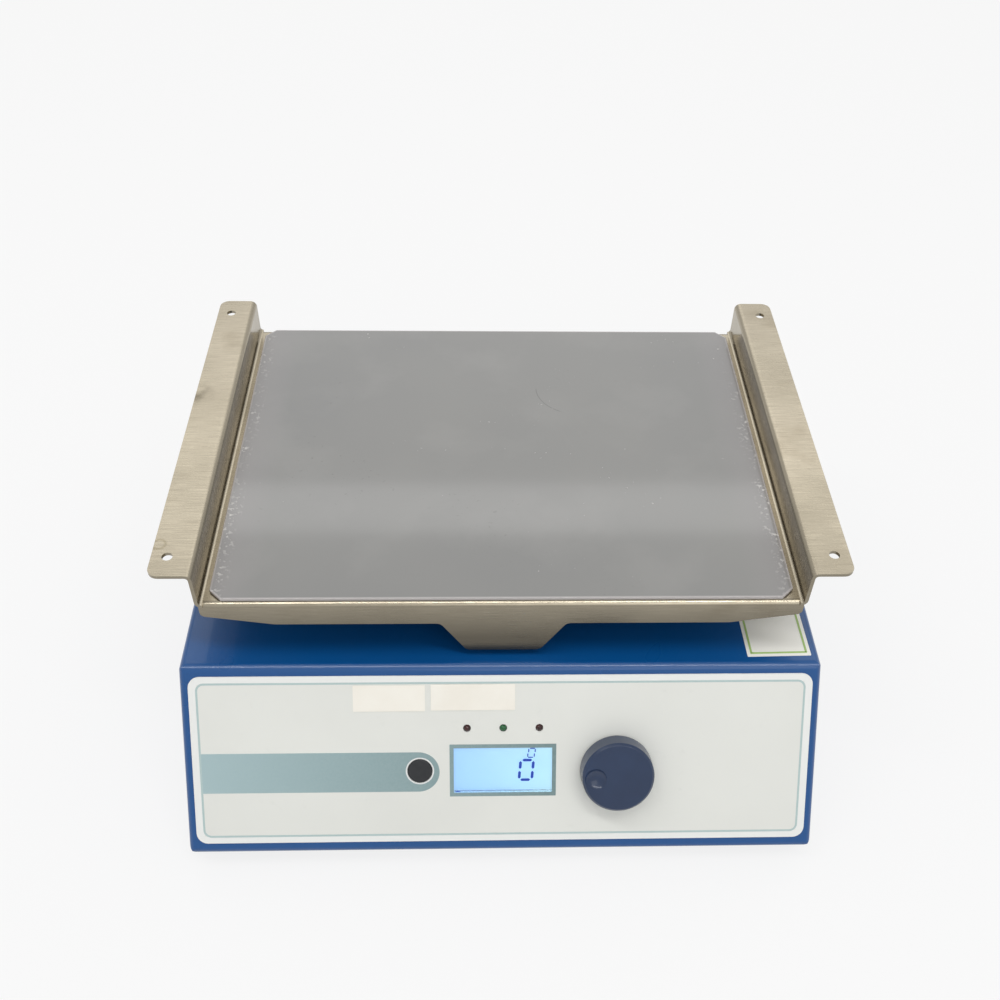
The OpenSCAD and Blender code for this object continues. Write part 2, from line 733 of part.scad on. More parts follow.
module inner_bridge() {
    color("#a9adb0") difference() {
        along_y(tray_y - bridge_l / 2, bridge_l) polygon(sheet_outline(bridge_path(), bridge_t, 1.5));
        // Windows in the legs
        for (i = [-1 : 1])
            translate([0, tray_y + i * bridge_l / 3.4, (case_z + bridge_web_z) / 2])
                rotate([90, 0, 90]) linear_extrude(2 * bridge_w, center = true)
                    polygon(round_rect(bridge_l / 3.4 - 14, housing_h - 40, 5));
        hatch(bridge_web_z - 1, bridge_t + 2);
        block_screw_holes(block_screw_r + fit);
        bridge_screw_places() translate([0, 0, case_z - 1]) cylinder(r = screw_r + fit, h = bridge_t + 2);
    }
}

// Screws inside the case: bridge, motor bracket, gearbox and circuit boards
module inner_screws() {
    color("#b9bcbf") {
        bridge_screw_places() translate([0, 0, case_z + bridge_t]) pan_screw(l = bridge_t + base_t + 1);
        bracket_screw_places() translate([0, 0, case_z + bracket_t]) pan_screw(l = bracket_t + base_t + 1);
        gearbox_screw_places() translate([0, 0, bracket_t]) pan_screw(l = bracket_t + 4);
        on_console() board_screw_places() translate([0, 0, board_z - board_t]) mirror([0, 0, 1])
            pan_screw(l = board_t + 5);
        spacer_places() translate([0, 0, power_board_z + board_t])
            pan_screw(l = board_t + power_spacer_h + base_t);
    }
}

// Screw positions of both pivot blocks
module block_screw_places() {
    for (x = [-1, 1], y = [-1, 1])
        translate([x * block_screw_x, tray_y + y * (block_y + block_l / 2), 0]) children();
}

module block_screw_holes(r) {
    block_screw_places() translate([0, 0, bridge_web_z - 1])
        cylinder(r = r, h = block_foot_t + top_z - bridge_web_z + 2);
}

// Front view of a pivot block, its foot at z = 0
function block_outline() = rounded(both_sides([
    [block_r * 0.9, pivot_rise + block_r, block_r * 0.88], [block_r, pivot_rise, 0],
    [block_r + 0.6, block_foot_t, 1], [block_w / 2, block_foot_t, 1], [block_w / 2, 0, 0]
]));

module pivot_block(y0) {
    color("#b7babd") difference() {
        translate([0, 0, top_z]) along_y(y0, block_l) polygon(block_outline());
        rod_y(0, y0 - 1, pivot_z, bush_out_r + fit, block_l + 2);
        block_screw_holes(block_screw_r + fit);
    }
}

module pivot_block_front() { pivot_block(tray_y - block_y - block_l); }

module pivot_block_rear() { pivot_block(tray_y + block_y); }

module pivot_block_screws() {
    color("#3a3c3f") block_screw_places() translate([0, 0, top_z + block_foot_t]) difference() {
        union() {
            translate([0, 0, -block_foot_t - case_t - bridge_t - block_screw_r])
                cylinder(r = block_screw_r, h = block_foot_t + case_t + bridge_t + 2 * block_screw_r);
            cylinder(r = 1.7 * block_screw_r, h = 2 * block_screw_r);
        }
        translate([0, 0, block_screw_r]) cylinder(r = 0.9 * block_screw_r, h = 2 * block_screw_r, $fn = 6);
    }
}

// Flanged bush, its flange's free face at y = 0 and its body along +Y
module bush() {
    rotate([-90, 0, 0]) rotate_extrude() polygon([
        [shaft_r + fit, 0], [bush_out_r + 2, 0], [bush_out_r + 2, bush_flange],
        [bush_out_r, bush_flange], [bush_out_r, bush_flange + block_l], [shaft_r + fit, bush_flange + block_l]
    ]);
}

// Children on the pivot axis at both ends of the shaft, facing outwards
module both_ends(y) {
    translate([0, tray_y + y, pivot_z]) children();
    translate([0, tray_y - y, pivot_z]) mirror([0, 1, 0]) children();
}

module pivot_bushes() { color("#b08d57") both_ends(bush_y) bush(); }

// ---------------------------------------------------------------- drive

module bracket_screw_places() {
    for (x = [-1, 1])
        translate([x * 0.65 * gearbox_r, gearbox_y - bracket_t - 0.65 * bracket_foot, 0]) children();
}

// Children at the gearbox's face screws
module gearbox_screw_places() {
    for (a = [0 : 60 : 300])
        translate([gearbox_bolt_r * cos(a), gearbox_y, gearbox_z + gearbox_bolt_r * sin(a)])
            rotate([90, 0, 0]) children();
}

module motor_bracket() {
    half_w = gearbox_r + 2;
    top_r = 0.45 * gearbox_r;
    color("#a9adb0") difference() {
        intersection() {
            along_x(-half_w, 2 * half_w) polygon(sheet_outline([
                [gearbox_y - bracket_t - bracket_foot, case_z], [gearbox_y, case_z], [gearbox_y, top_z]
            ], bracket_t, 1.5));
            along_y(gearbox_y - 2 * bracket_foot, 3 * bracket_foot) polygon(rounded([
                [half_w, gearbox_z + gearbox_r, top_r], [-half_w, gearbox_z + gearbox_r, top_r],
                [-half_w, case_z - 1, 0], [half_w, case_z - 1, 0]
            ]));
        }
        rod_y(0, gearbox_y - 2 * bracket_t, crank_z, boss_r + fit, 3 * bracket_t);
        gearbox_screw_places() translate([0, 0, -1]) cylinder(r = screw_r + fit, h = bracket_t + 2);
        bracket_screw_places() translate([0, 0, case_z - 1]) cylinder(r = screw_r + fit, h = bracket_t + 2);
    }
}

module gearbox() {
    color("#c4c7ca") difference() {
        union() {
            rod_y(0, gearbox_y, gearbox_z, gearbox_r, gearbox_l);
            rod_y(0, boss_y, crank_z, boss_r, boss_l + 1);
        }
        rod_y(0, boss_y - 1, crank_z, output_r + fit, gearbox_l * 0.7 + boss_l);
        gearbox_screw_places() translate([0, 0, -5]) cylinder(r = screw_r + fit, h = 6);
    }
}

module motor() {
    color("#2d2f33") translate([0, motor_y, gearbox_z]) {
        rotate([-90, 0, 0]) rotate_extrude() polygon(rounded([
            [0, 0, 0], [motor_r, 0, 0], [motor_r, motor_l, 2], [6, motor_l, 0],
            [6, motor_l + motor_tail, 1], [0, motor_l + motor_tail, 0]
        ]));
        for (x = [-1, 1]) translate([x * 11 - 1.5, motor_l - 1, -0.3]) cube([3, 5, 0.6]);
    }
}

// Slotted light sensor that straddles the rim of the speed disc
module speed_sensor() {
    x0 = crank_disc_r + 0.8;
    y0 = disc_y + crank_disc_t - 2.6;
    y1 = gearbox_y - bracket_t;
    slot = speed_disc_t + 1.2;
    color("#202124") difference() {
        translate([x0, y0, crank_z - 4]) cube([gearbox_r - x0, y1 - y0, 8]);
        translate([x0 - 1, disc_y + crank_disc_t - 0.6, crank_z - 5])
            cube([speed_disc_r - x0 + 1.6, slot, 10]);
    }
}

// Shaft with a flat for half of its length; the flat faces up
module output_shaft() {
    l = boss_y + boss_l + gearbox_l * 0.6 - disc_y - 0.5;
    color("#d4d6d8") difference() {
        rod_y(0, disc_y + 0.5, crank_z, output_r, l);
        translate([-output_r, disc_y, crank_z + output_r - 0.5]) cube([2 * output_r, crank_disc_t + 1, 1]);
    }
}

module crank_disc() {
    color("#b7babd") difference() {
        rod_y(0, disc_y, crank_z, crank_disc_r, crank_disc_t);
        difference() {
            rod_y(0, disc_y - 1, crank_z, output_r + fit, crank_disc_t + 2);
            translate([-output_r - 1, disc_y - 2, crank_z + output_r - 0.5 + fit])
                cube([2 * output_r + 2, crank_disc_t + 4, 1]);
        }
        rod_y(0, disc_y - 1, crank_z - crank_r, pin_r - 0.5 + fit, crank_disc_t + 2);
    }
}

module speed_disc() {
    y0 = disc_y + crank_disc_t;
    color("#34363a") difference() {
        rod_y(0, y0, crank_z, speed_disc_r, speed_disc_t);
        rod_y(0, y0 - 1, crank_z, output_r + fit, speed_disc_t + 2);
        for (a = [15 : 30 : 345])
            translate([0, y0 + speed_disc_t / 2, crank_z]) rotate([0, a, 0])
                translate([speed_disc_r - 0.9, 0, 0]) cube([1.2, 2, 1.6], center = true);
    }
}

// Shoulder pin on the crank disc, drawn along the axis from the disc's face forward
module crank_pin() {
    head_y = pin_collar + roller_l + 0.15;
    color("#d4d6d8") translate([0, disc_y, crank_z - crank_r]) rotate([90, 0, 0]) rotate_extrude() polygon([
        [0, -crank_disc_t + 1], [pin_r - 0.5, -crank_disc_t + 1], [pin_r - 0.5, 0], [pin_r + 1, 0],
        [pin_r + 1, pin_collar - 0.15], [pin_r, pin_collar - 0.15], [pin_r, head_y], [pin_r + 1.2, head_y],
        [pin_r + 1.2, head_y + 1.2], [0, head_y + 1.2]
    ]);
}

module crank_roller() {
    color("#c9b37a") translate([0, disc_y - pin_collar, crank_z - crank_r]) rotate([90, 0, 0])
        rotate_extrude() polygon(rounded([
            [pin_r + fit, 0, 0], [roller_r, 0, 0.5], [roller_r, roller_l, 0.5], [pin_r + fit, roller_l, 0]
        ]));
}

// ---------------------------------------------------------------- rocking platform

// Under side of the platform sheet in X and Z: flange, wall, floor, wall, flange
function tray_path() =
    let (x = wall_x, top = tray_z + flange_h - tray_t)
    [[-platform_w / 2, top], [-x, top], [-x, tray_under_z],
        [x, tray_under_z], [x, top], [platform_w / 2, top]];

// Inner side of the aprons and the floor in Y and Z
function apron_path() =
    let (y0 = tray_front_y + tray_t, y1 = tray_front_y + platform_d - tray_t, z = tray_z - tab_h)
    [[y0, z], [y0, tray_under_z], [y1, tray_under_z], [y1, z]];

// Front view of an apron with its guard tab; its ends rise at the angle of full tilt
function apron_outline() =
    let (end_x = wall_x - apron_end_gap, flat_x = apron_flat_w / 2)
    let (end_h = apron_h - (end_x - flat_x) * tan(tilt_max))
    rounded(both_sides([
        [end_x, tray_z + 1, 0], [end_x, tray_z - end_h, 2.5], [flat_x, tray_z - apron_h, 12],
        [tab_top_w / 2, tray_z - apron_h, 3.5], [tab_foot_w / 2, tray_z - tab_h, 3.5]
    ]));

module strap_hole_places() {
    translate([0, tray_y, 0])
        four(platform_w - 2 * strap_inset_x, platform_d - 2 * strap_inset_y) children();
}

module platform_screw_places() { translate([0, tray_y, 0]) four(beam_w - 16, 1.4 * cheek_y) children(); }

module platform_tray() {
    floor_hw = wall_x - fold_out_r;
    color("#c9c4b8") difference() {
        union() {
            difference() {
                intersection() {
                    along_y(tray_front_y, platform_d) polygon(sheet_outline(tray_path(), tray_t, fold_r));
                    translate([0, tray_y, 0]) linear_extrude(tray_z + 2 * flange_h)
                        polygon(round_rect(platform_w, platform_d, flange_corner_r));
                }
                for (y = [tray_front_y - 1, tray_front_y + platform_d - fold_out_r])
                    translate([-floor_hw, y, tray_under_z - 1])
                        cube([2 * floor_hw, fold_out_r + 1, tray_t + 2]);
            }
            intersection() {
                along_x(-wall_x, 2 * wall_x) polygon(sheet_outline(apron_path(), tray_t, fold_r));
                along_y(tray_front_y - 1, platform_d + 2) polygon(apron_outline());
            }
        }
        strap_hole_places() translate([0, 0, tray_z]) cylinder(r = strap_hole_r, h = flange_h + 1);
        platform_screw_places() platform_screw(0.05, 0);
    }
}

module platform_mat() {
    x = wall_x - tray_t - mat_side_gap;
    y = platform_d / 2 - mat_front_gap;
    c = mat_corner;
    color("#8f8f92") translate([0, tray_y, tray_z]) linear_extrude(mat_t) polygon([
        [x, y - c], [x - c, y], [c - x, y], [-x, y - c], [-x, c - y], [c - x, -y], [x - c, -y], [x, c - y]
    ]);
}

// Countersunk screw through the tray floor, grown by g and cut short by s
module platform_screw(g, s) {
    l = tray_t + beam_t + 3;
    translate([0, 0, tray_z - l - g]) cylinder(r = 1.75 + g, h = l + g - s);
    translate([0, 0, tray_z - 1.4]) cylinder(r1 = 1.75 + g, r2 = 3.15 + g, h = 1.4 - s);
    if (g > 0) translate([0, 0, tray_z - 0.01]) cylinder(r = 3.15 + g, h = 1);
}

module platform_screws() { color("#b9bcbf") platform_screw_places() platform_screw(0, 0.05); }

// Front view of the rocker beam: its web across the top, its cheeks narrowing to the shaft
function beam_outline() = rounded(both_sides([
    [beam_w / 2, tray_under_z + 1, 0], [beam_w / 2, tray_under_z - 9, 3], [cheek_r, pivot_z, 0],
    [cheek_r * 0.98, pivot_z - cheek_r, cheek_r * 0.94]
]));

// Inner side of the beam's cheeks and web in Y and Z
function beam_path() =
    let (y = cheek_y - beam_t, foot_z = pivot_z - cheek_r, web_z = tray_under_z - beam_t)
    [[tray_y - y, foot_z], [tray_y - y, web_z], [tray_y + y, web_z], [tray_y + y, foot_z]];

module rocker_beam() {
    lip_h = 8;
    color("#a9adb0") difference() {
        intersection() {
            union() {
                along_x(-beam_w / 2, beam_w) polygon(sheet_outline(beam_path(), beam_t, 1.5));
                for (x = [-beam_w / 2, beam_w / 2 - beam_t])
                    translate([x, tray_y - cheek_y + 6, tray_under_z - lip_h])
                        cube([beam_t, 2 * cheek_y - 12, lip_h]);
            }
            along_y(tray_y - cheek_y - 1, 2 * cheek_y + 2) polygon(beam_outline());
        }
        rod_y(0, tray_y - cheek_y - 1, pivot_z, shaft_r + fit, 2 * cheek_y + 2);
        platform_screw_places() platform_screw(0.05, 0);
    }
}

module pivot_shaft() {
    r = shaft_r;
    g = clip_groove_r;
    half = [[0, shaft_end], [r - 0.6, shaft_end], [r, shaft_end - 0.6], [r, clip_y + clip_t],
        [g, clip_y + clip_t], [g, clip_y], [r, clip_y]];
    color("#d4d6d8") translate([0, tray_y, pivot_z]) rotate([-90, 0, 0]) rotate_extrude()
        polygon(concat(half, [for (i = [len(half) - 1 : -1 : 0]) [half[i][0], -half[i][1]]]));
}

module thrust_washers() {
    color("#e6e2d6") both_ends(cheek_y + gap) rotate([-90, 0, 0]) difference() {
        cylinder(r = bush_out_r + 2, h = washer_t);
        translate([0, 0, -1]) cylinder(r = shaft_r + fit, h = washer_t + 2);
    }
}

module shaft_clips() {
    color("#3a3c3f") both_ends(clip_y) rotate([-90, 0, 0]) difference() {
        cylinder(r = shaft_r + 2.4, h = clip_t);
        translate([0, 0, -1]) cylinder(r = clip_groove_r + fit, h = clip_t + 2);
        translate([-clip_groove_r * 0.8, 0, -1]) cube([1.6 * clip_groove_r, 2 * shaft_r, clip_t + 2]);
    }
}

// Fork that hangs from the shaft and takes the crank roller between its prongs
module drive_fork() {
    y0 = fork_y - fork_t / 2;
    hub_l = fork_t + 6;
    color("#b7babd") difference() {
        union() {
            along_y(y0, fork_t) polygon(rounded(both_sides([
                [fork_w / 2, pivot_z, 0], [fork_w / 2, pivot_z - fork_foot, 1.5],
                [slot_hw, pivot_z - fork_foot, 0.8], [slot_hw, pivot_z - fork_foot + fork_lead, 0],
                [slot_hw, pivot_z - arm_l + crank_r, 0]
            ])));
            rod_y(0, y0, pivot_z, fork_w / 2, fork_t);
            rod_y(0, fork_y - hub_l / 2, pivot_z, shaft_r + 4, hub_l);
        }
        rod_y(0, fork_y - hub_l, pivot_z, shaft_r + fit, 2 * hub_l);
        rod_y(0, y0 - 1, pivot_z - arm_l + crank_r, slot_hw, fork_t + 2);
        translate([0, fork_y, pivot_z]) cylinder(r = set_screw_r + fit, h = 2 * fork_w);
    }
}

module fork_set_screw() {
    color("#3a3c3f") translate([0, fork_y, pivot_z]) difference() {
        translate([0, 0, shaft_r + fit]) cylinder(r = set_screw_r, h = fork_w / 2 - shaft_r - 0.6);
        translate([0, 0, fork_w / 2 - 1.3 * set_screw_r]) cylinder(r = 0.55 * set_screw_r, h = 3, $fn = 6);
    }
}

// ---------------------------------------------------------------- console

module front_overlay() {
    w = housing_w - 2 * overlay_margin;
    h = slant_flat - overlay_margin - overlay_foot;
    color("#e4e5e1") on_console() difference() {
        translate([0, -overlay_margin - h / 2, 0]) linear_extrude(overlay_t)
            polygon(round_rect(w, h, overlay_r));
        console_holes(0.2, 4);
    }
}

module display_window() {
    color("#b7d3ea", 0.5) on_console(0, -controls_drop) translate([0, 0, -case_t])
        linear_extrude(case_t + overlay_t) square([display_w, display_h], center = true);
}

module display_glass() {
    color("#a8d0f0") on_console(0, -controls_drop) translate([0, 0, -case_t - glass_t])
        linear_extrude(glass_t) square([glass_w, glass_h], center = true);
}

module display_holder() {
    w = glass_w + 2 * fit + 2 * display_wall;
    h = glass_h + 2 * fit + 2 * display_wall;
    color("#2b2d30") on_console(0, -controls_drop) difference() {
        translate([0, 0, board_z]) linear_extrude(board_gap) square([w, h], center = true);
        translate([0, 0, -case_t - glass_t]) linear_extrude(glass_t + 1)
            square([glass_w + 2 * fit, glass_h + 2 * fit], center = true);
        translate([0, 0, board_z - 1]) linear_extrude(board_gap + 2)
            square([glass_w - 4, glass_h - 4], center = true);
    }
}

// Lamp on the control board, its dome just proud of the overlay
module lamp(i) {
    on_console(i * lamp_pitch, -lamps_drop) {
        translate([0, 0, board_z]) cylinder(r = lamp_r + 0.4, h = board_gap - 2);
        translate([0, 0, board_z]) cylinder(r = lamp_r, h = board_gap + case_t + overlay_t - 0.4);
        translate([0, 0, overlay_t - 0.4]) intersection() {
            sphere(r = lamp_r);
            cylinder(r = lamp_r, h = lamp_r);
        }
    }
}

module red_lamps() { color("#7c2a2a") for (i = [-1, 1]) lamp(i); }

module green_lamp() { color("#2f8f57") lamp(0); }

module board_screw_places() {
    translate([board_x, board_y, 0])
        four(board_w - 2 * board_hole_inset, board_h - 2 * board_hole_inset) children();
}

module control_board() {
    color("#2d6a45") on_console() difference() {
        translate([board_x, board_y, board_z - board_t]) linear_extrude(board_t)
            polygon(round_rect(board_w, board_h, 2));
        board_screw_places() translate([0, 0, board_z - board_t - 1])
            cylinder(r = screw_r + fit, h = board_t + 2);
    }
}

module board_standoffs() {
    color("#c8a860") on_console() board_screw_places() translate([0, 0, board_z]) difference() {
        cylinder(r = spacer_r, h = board_gap, $fn = 6);
        translate([0, 0, -1]) cylinder(r = screw_r + fit, h = board_gap - 2);
    }
}

module mode_switch() {
    color("#3a3c3f") on_console(-button_x, -controls_drop) difference() {
        translate([-3, -3, board_z]) cube([6, 6, mode_switch_h]);
        translate([0, 0, mode_switch_top_z - 1.4]) cylinder(r = stem_r + 0.1, h = 3);
    }
}

// Cap with a collar behind the sheet and a stem that works the switch on the board
module mode_button() {
    collar_z = -case_t - gap;
    color("#1b1c1f") on_console(-button_x, -controls_drop) rotate_extrude() polygon(rounded([
        [0, mode_switch_top_z - 0.8, 0], [stem_r, mode_switch_top_z - 0.8, 0], [stem_r, collar_z - 1, 0],
        [button_r + 1, collar_z - 1, 0], [button_r + 1, collar_z, 0], [button_r, collar_z, 0],
        [button_r, overlay_t + 0.5, 0.4], [0, overlay_t + 0.5, 0]
    ]));
}

module encoder_body() {
    color("#9aa0a4") on_console(knob_x, -controls_drop) difference() {
        union() {
            translate([-encoder_w / 2, -encoder_w / 2, board_z]) cube([encoder_w, encoder_w, encoder_t]);
            translate([0, 0, board_z]) cylinder(r = bushing_r, h = overlay_t + nut_t + 0.6 - board_z);
        }
        translate([0, 0, board_z + encoder_floor]) cylinder(r = encoder_bore_r, h = 30);
    }
}

module encoder_nut() {
    color("#c9ccce") on_console(knob_x, -controls_drop) translate([0, 0, overlay_t]) difference() {
        cylinder(r = 6.4, h = nut_t, $fn = 6);
        translate([0, 0, -1]) cylinder(r = bushing_r + fit, h = nut_t + 2);
    }
}

module encoder_plunger() {
    color("#5a5d60") on_console(knob_x, -controls_drop) translate([0, 0, plunger_z])
        cylinder(r = encoder_shaft_r - 0.3, h = plunger_t);
}

module encoder_shaft() {
    z0 = plunger_z + plunger_t;
    color("#c4c7ca") on_console(knob_x, -controls_drop) translate([0, 0, z0])
        cylinder(r = encoder_shaft_r, h = knob_top_z - 2 - z0);
}

module knob() {
    color("#1d2a4a") on_console(knob_x, -controls_drop) difference() {
        rotate_extrude($fn = 96) polygon(rounded([
            [0, knob_bottom_z, 0], [knob_r + 0.4, knob_bottom_z, 0.3],
            [knob_r, knob_top_z - knob_bevel, 0.4], [knob_r - knob_bevel, knob_top_z, 0.4], [0, knob_top_z, 0]
        ]));
        translate([0, 0, knob_bottom_z - 1]) cylinder(r = 9, h = knob_web_z - knob_bottom_z + 1);
        translate([0, 0, knob_bottom_z])
            cylinder(r = encoder_shaft_r + fit, h = knob_top_z - 1.9 - knob_bottom_z);
        // Finger dimple beside the bevel, a cap of a larger ball
        translate([-(knob_r - knob_bevel - dimple_r), -dimple_fall, knob_top_z + dimple_r * 0.55])
            sphere(r = dimple_r * 1.14);
    }
}

// ---------------------------------------------------------------- power electronics

module spacer_places() {
    translate([power_board_x + power_board_w / 2, power_board_y + power_board_l / 2, 0])
        four(power_board_w - 8, power_board_l - 8) children();
}

module power_board() {
    color("#2d6a45") difference() {
        translate([power_board_x, power_board_y, power_board_z])
            cube([power_board_w, power_board_l, board_t]);
        spacer_places() translate([0, 0, power_board_z - 1]) cylinder(r = screw_r + fit, h = board_t + 2);
    }
}

module board_spacers() {
    color("#e8e8e4") spacer_places() translate([0, 0, case_z]) difference() {
        cylinder(r = spacer_r, h = power_spacer_h);
        translate([0, 0, -1]) cylinder(r = screw_r + fit, h = power_spacer_h + 2);
    }
}

// Laminated core with its wound coil
module transformer() {
    color("#6e5f4a") translate([power_parts_x, tray_y + 12, power_parts_z]) {
        cube([core_l, core_w, core_h]);
        translate([5, -coil_out, 5]) cube([core_l - 10, core_w + 2 * coil_out, core_h - 10]);
    }
}

// Extruded comb on its base
module heatsink() {
    color("#303236") translate([power_parts_x, tray_y - sink_w, power_parts_z]) {
        cube([core_l, sink_w, sink_base_t]);
        for (i = [0 : fin_count - 1])
            translate([i * (core_l - fin_t) / (fin_count - 1), 0, sink_base_t - 1])
                cube([fin_t, sink_w, fin_h]);
    }
}

module capacitors() {
    color("#2a3f6b") for (x = [-0.5, 0.5])
        translate([capacitor_x + x * capacitor_pitch, tray_y + capacitor_y, power_parts_z])
            cylinder(r = capacitor_r, h = capacitor_h);
}

module ribbon_cable() {
    a = console_point(-plug_drop, board_z - board_t - plug_t);
    b = console_point(-plug_drop, board_z - board_t - plug_t - cable_rise);
    z = board_plug_top + cable_rise;
    color("#8a8d92") along_x(cable_x, cable_w) polygon(sheet_outline([
        a, b, [board_plug_y - 16, z], [board_plug_y, z], [board_plug_y, board_plug_top]
    ], cable_t, 2));
}

module cable_plugs() {
    color("#202124") {
        on_console(cable_x + cable_w / 2, -plug_drop) translate([0, 0, board_z - board_t - plug_t / 2])
            cube([cable_w + 3, plug_w, plug_t], center = true);
        translate([cable_x + cable_w / 2, board_plug_y, board_plug_top - plug_t / 2])
            cube([cable_w + 3, plug_w, plug_t], center = true);
    }
}

// ---------------------------------------------------------------- output

cover_shell();
base_plate();
rear_panel();
rubber_feet();
foot_screws();
case_screws();
inner_bridge();
inner_screws();
pivot_block_front();
pivot_block_rear();
pivot_block_screws();
pivot_bushes();
motor_bracket();
gearbox();
motor();
speed_sensor();
front_overlay();
display_window();
display_glass();
display_holder();
red_lamps();
green_lamp();
control_board();
board_standoffs();
mode_switch();
encoder_body();
encoder_nut();
power_board();
board_spacers();
transformer();
heatsink();
capacitors();
ribbon_cable();
cable_plugs();
mains_inlet();
inlet_pins();
switch_frame();
fuse_holder();
fuse_cap();
platform_tray();
platform_mat();
platform_screws();
rocker_beam();
pivot_shaft();
thrust_washers();
shaft_clips();
drive_fork();
fork_set_screw();
output_shaft();
crank_disc();
speed_disc();
crank_pin();
crank_roller();
encoder_plunger();
encoder_shaft();
knob();
mode_button();
switch_rocker();
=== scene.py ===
import math

import bpy
from mathutils import Matrix, Vector


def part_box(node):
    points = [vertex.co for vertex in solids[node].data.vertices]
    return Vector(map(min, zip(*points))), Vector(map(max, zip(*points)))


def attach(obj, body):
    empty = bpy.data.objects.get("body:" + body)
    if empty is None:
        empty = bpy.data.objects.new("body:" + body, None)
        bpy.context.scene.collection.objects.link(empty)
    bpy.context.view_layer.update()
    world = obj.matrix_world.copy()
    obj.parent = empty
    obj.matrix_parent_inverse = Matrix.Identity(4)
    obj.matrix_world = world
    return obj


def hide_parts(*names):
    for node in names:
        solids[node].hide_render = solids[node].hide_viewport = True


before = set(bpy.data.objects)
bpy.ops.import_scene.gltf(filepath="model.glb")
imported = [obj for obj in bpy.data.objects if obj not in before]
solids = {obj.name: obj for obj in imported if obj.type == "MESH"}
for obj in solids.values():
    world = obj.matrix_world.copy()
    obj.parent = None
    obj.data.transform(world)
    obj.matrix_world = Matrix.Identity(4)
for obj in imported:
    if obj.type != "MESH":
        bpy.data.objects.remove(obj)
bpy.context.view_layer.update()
scene = bpy.context.scene
scene.view_settings.view_transform = "Standard"
bpy.ops.object.select_all(action="DESELECT")

# ---------------------------------------------------------------- view, floor and light
# The camera stands before the bench and looks down on the console and the platform. The bench is a
# plain white sheet in an even white room, under two long ceiling tubes, a pale ceiling panel behind
# and a softbox in front. The sheet keeps the shadows but is seen most of the way to full white.

view = bpy.data.cameras.new("bench_view")
view.sensor_width = 36
view.lens = 40.323
view.shift_x = -0.0178
view.shift_y = 0.0789
view.clip_start = 0.05
camera = bpy.data.objects.new("bench_view", view)
scene.collection.objects.link(camera)
right = Vector((0.999338, -0.027338, 0.023985))
ahead = Vector((0.036215, 0.687681, -0.725109))
up = right.cross(ahead)
camera_place = Matrix.Translation((-0.011275, -0.392487, 0.46527))
camera_turn = Matrix((right, up, -ahead)).transposed().to_4x4()
camera.matrix_world = camera_place @ camera_turn
scene.camera = camera


def seen_share(tree):
    """1 for rays that the camera sees directly, in a reflection or through the window, else 0."""
    ray = tree.nodes.new("ShaderNodeLightPath")
    share = ray.outputs["Is Camera Ray"]
    for kind in ("Is Glossy Ray", "Is Transmission Ray"):
        either = tree.nodes.new("ShaderNodeMath")
        either.operation = "MAXIMUM"
        tree.links.new(share, either.inputs[0])
        tree.links.new(ray.outputs[kind], either.inputs[1])
        share = either.outputs[0]
    return share


bpy.ops.mesh.primitive_plane_add(size=8, location=(0, 0, 0))
bench = bpy.context.object
bench.name = "bench_top"
white_sheet = bpy.data.materials.new("white_sheet")
white_sheet.use_nodes = True
sheet_nodes = white_sheet.node_tree.nodes
sheet_links = white_sheet.node_tree.links
sheet_shader = sheet_nodes["Principled BSDF"]
sheet_shader.inputs["Base Color"].default_value = (0.72, 0.72, 0.72, 1)
sheet_shader.inputs["Roughness"].default_value = 0.9
sheet_shader.inputs["Specular IOR Level"].default_value = 0.1
sheet_glow = sheet_nodes.new("ShaderNodeEmission")
white_share = 0.8
sheet_white = sheet_nodes.new("ShaderNodeMath")
sheet_white.operation = "MULTIPLY"
sheet_white.inputs[1].default_value = white_share
sheet_links.new(seen_share(white_sheet.node_tree), sheet_white.inputs[0])
sheet_mix = sheet_nodes.new("ShaderNodeMixShader")
sheet_links.new(sheet_white.outputs[0], sheet_mix.inputs[0])
sheet_links.new(sheet_shader.outputs[0], sheet_mix.inputs[1])
sheet_links.new(sheet_glow.outputs[0], sheet_mix.inputs[2])
sheet_links.new(sheet_mix.outputs[0], sheet_nodes["Material Output"].inputs["Surface"])
bench.data.materials.append(white_sheet)

room = bpy.data.worlds.new("white_room")
scene.world = room
room.use_nodes = True
room_nodes = room.node_tree.nodes
room_nodes["Background"].inputs["Color"].default_value = (1, 1, 1, 1)
room_links = room.node_tree.links
room_light = 0.61
room_seen_more = 0.19
room_level = room_nodes.new("ShaderNodeMath")
room_level.operation = "MULTIPLY_ADD"
room_level.inputs[1].default_value = room_seen_more
room_level.inputs[2].default_value = room_light
room_links.new(seen_share(room.node_tree), room_level.inputs[0])
room_links.new(room_level.outputs[0], room_nodes["Background"].inputs["Strength"])


def soft_lamp(name, place, aim, width, height, watts):
    """A flat white lamp that faces a point."""
    lamp = bpy.data.lights.new(name, "AREA")
    lamp.shape = "RECTANGLE"
    lamp.size = width
    lamp.size_y = height
    lamp.energy = watts
    holder = bpy.data.objects.new(name, lamp)
    scene.collection.objects.link(holder)
    holder.location = place
    holder.rotation_euler = (Vector(aim) - Vector(place)).to_track_quat("-Z", "Y").to_euler()


soft_lamp("tube_behind", (0, 1.465, 1.5), (0, 0, 0.1), 2.6, 0.11, 1.2)
soft_lamp("panel_behind", (0.3, 1.8, 1.8), (0.05, 0.05, 0.1), 3.0, 1.1, 8)
soft_lamp("tube_above", (-0.1, -0.35, 1.5), (0, -0.05, 0.1), 2.0, 0.16, 9)
soft_lamp("front_softbox", (0.45, -1.3, 1.25), (0, -0.05, 0.06), 1.2, 0.9, 3.4)


# ---------------------------------------------------------------- base plate
# Flat pressing of zinc-plated steel that closes the case from below, screwed to its turned-in lip.
# The plating is dull, with the soft crystal cloud and the rolling lines of plated sheet.


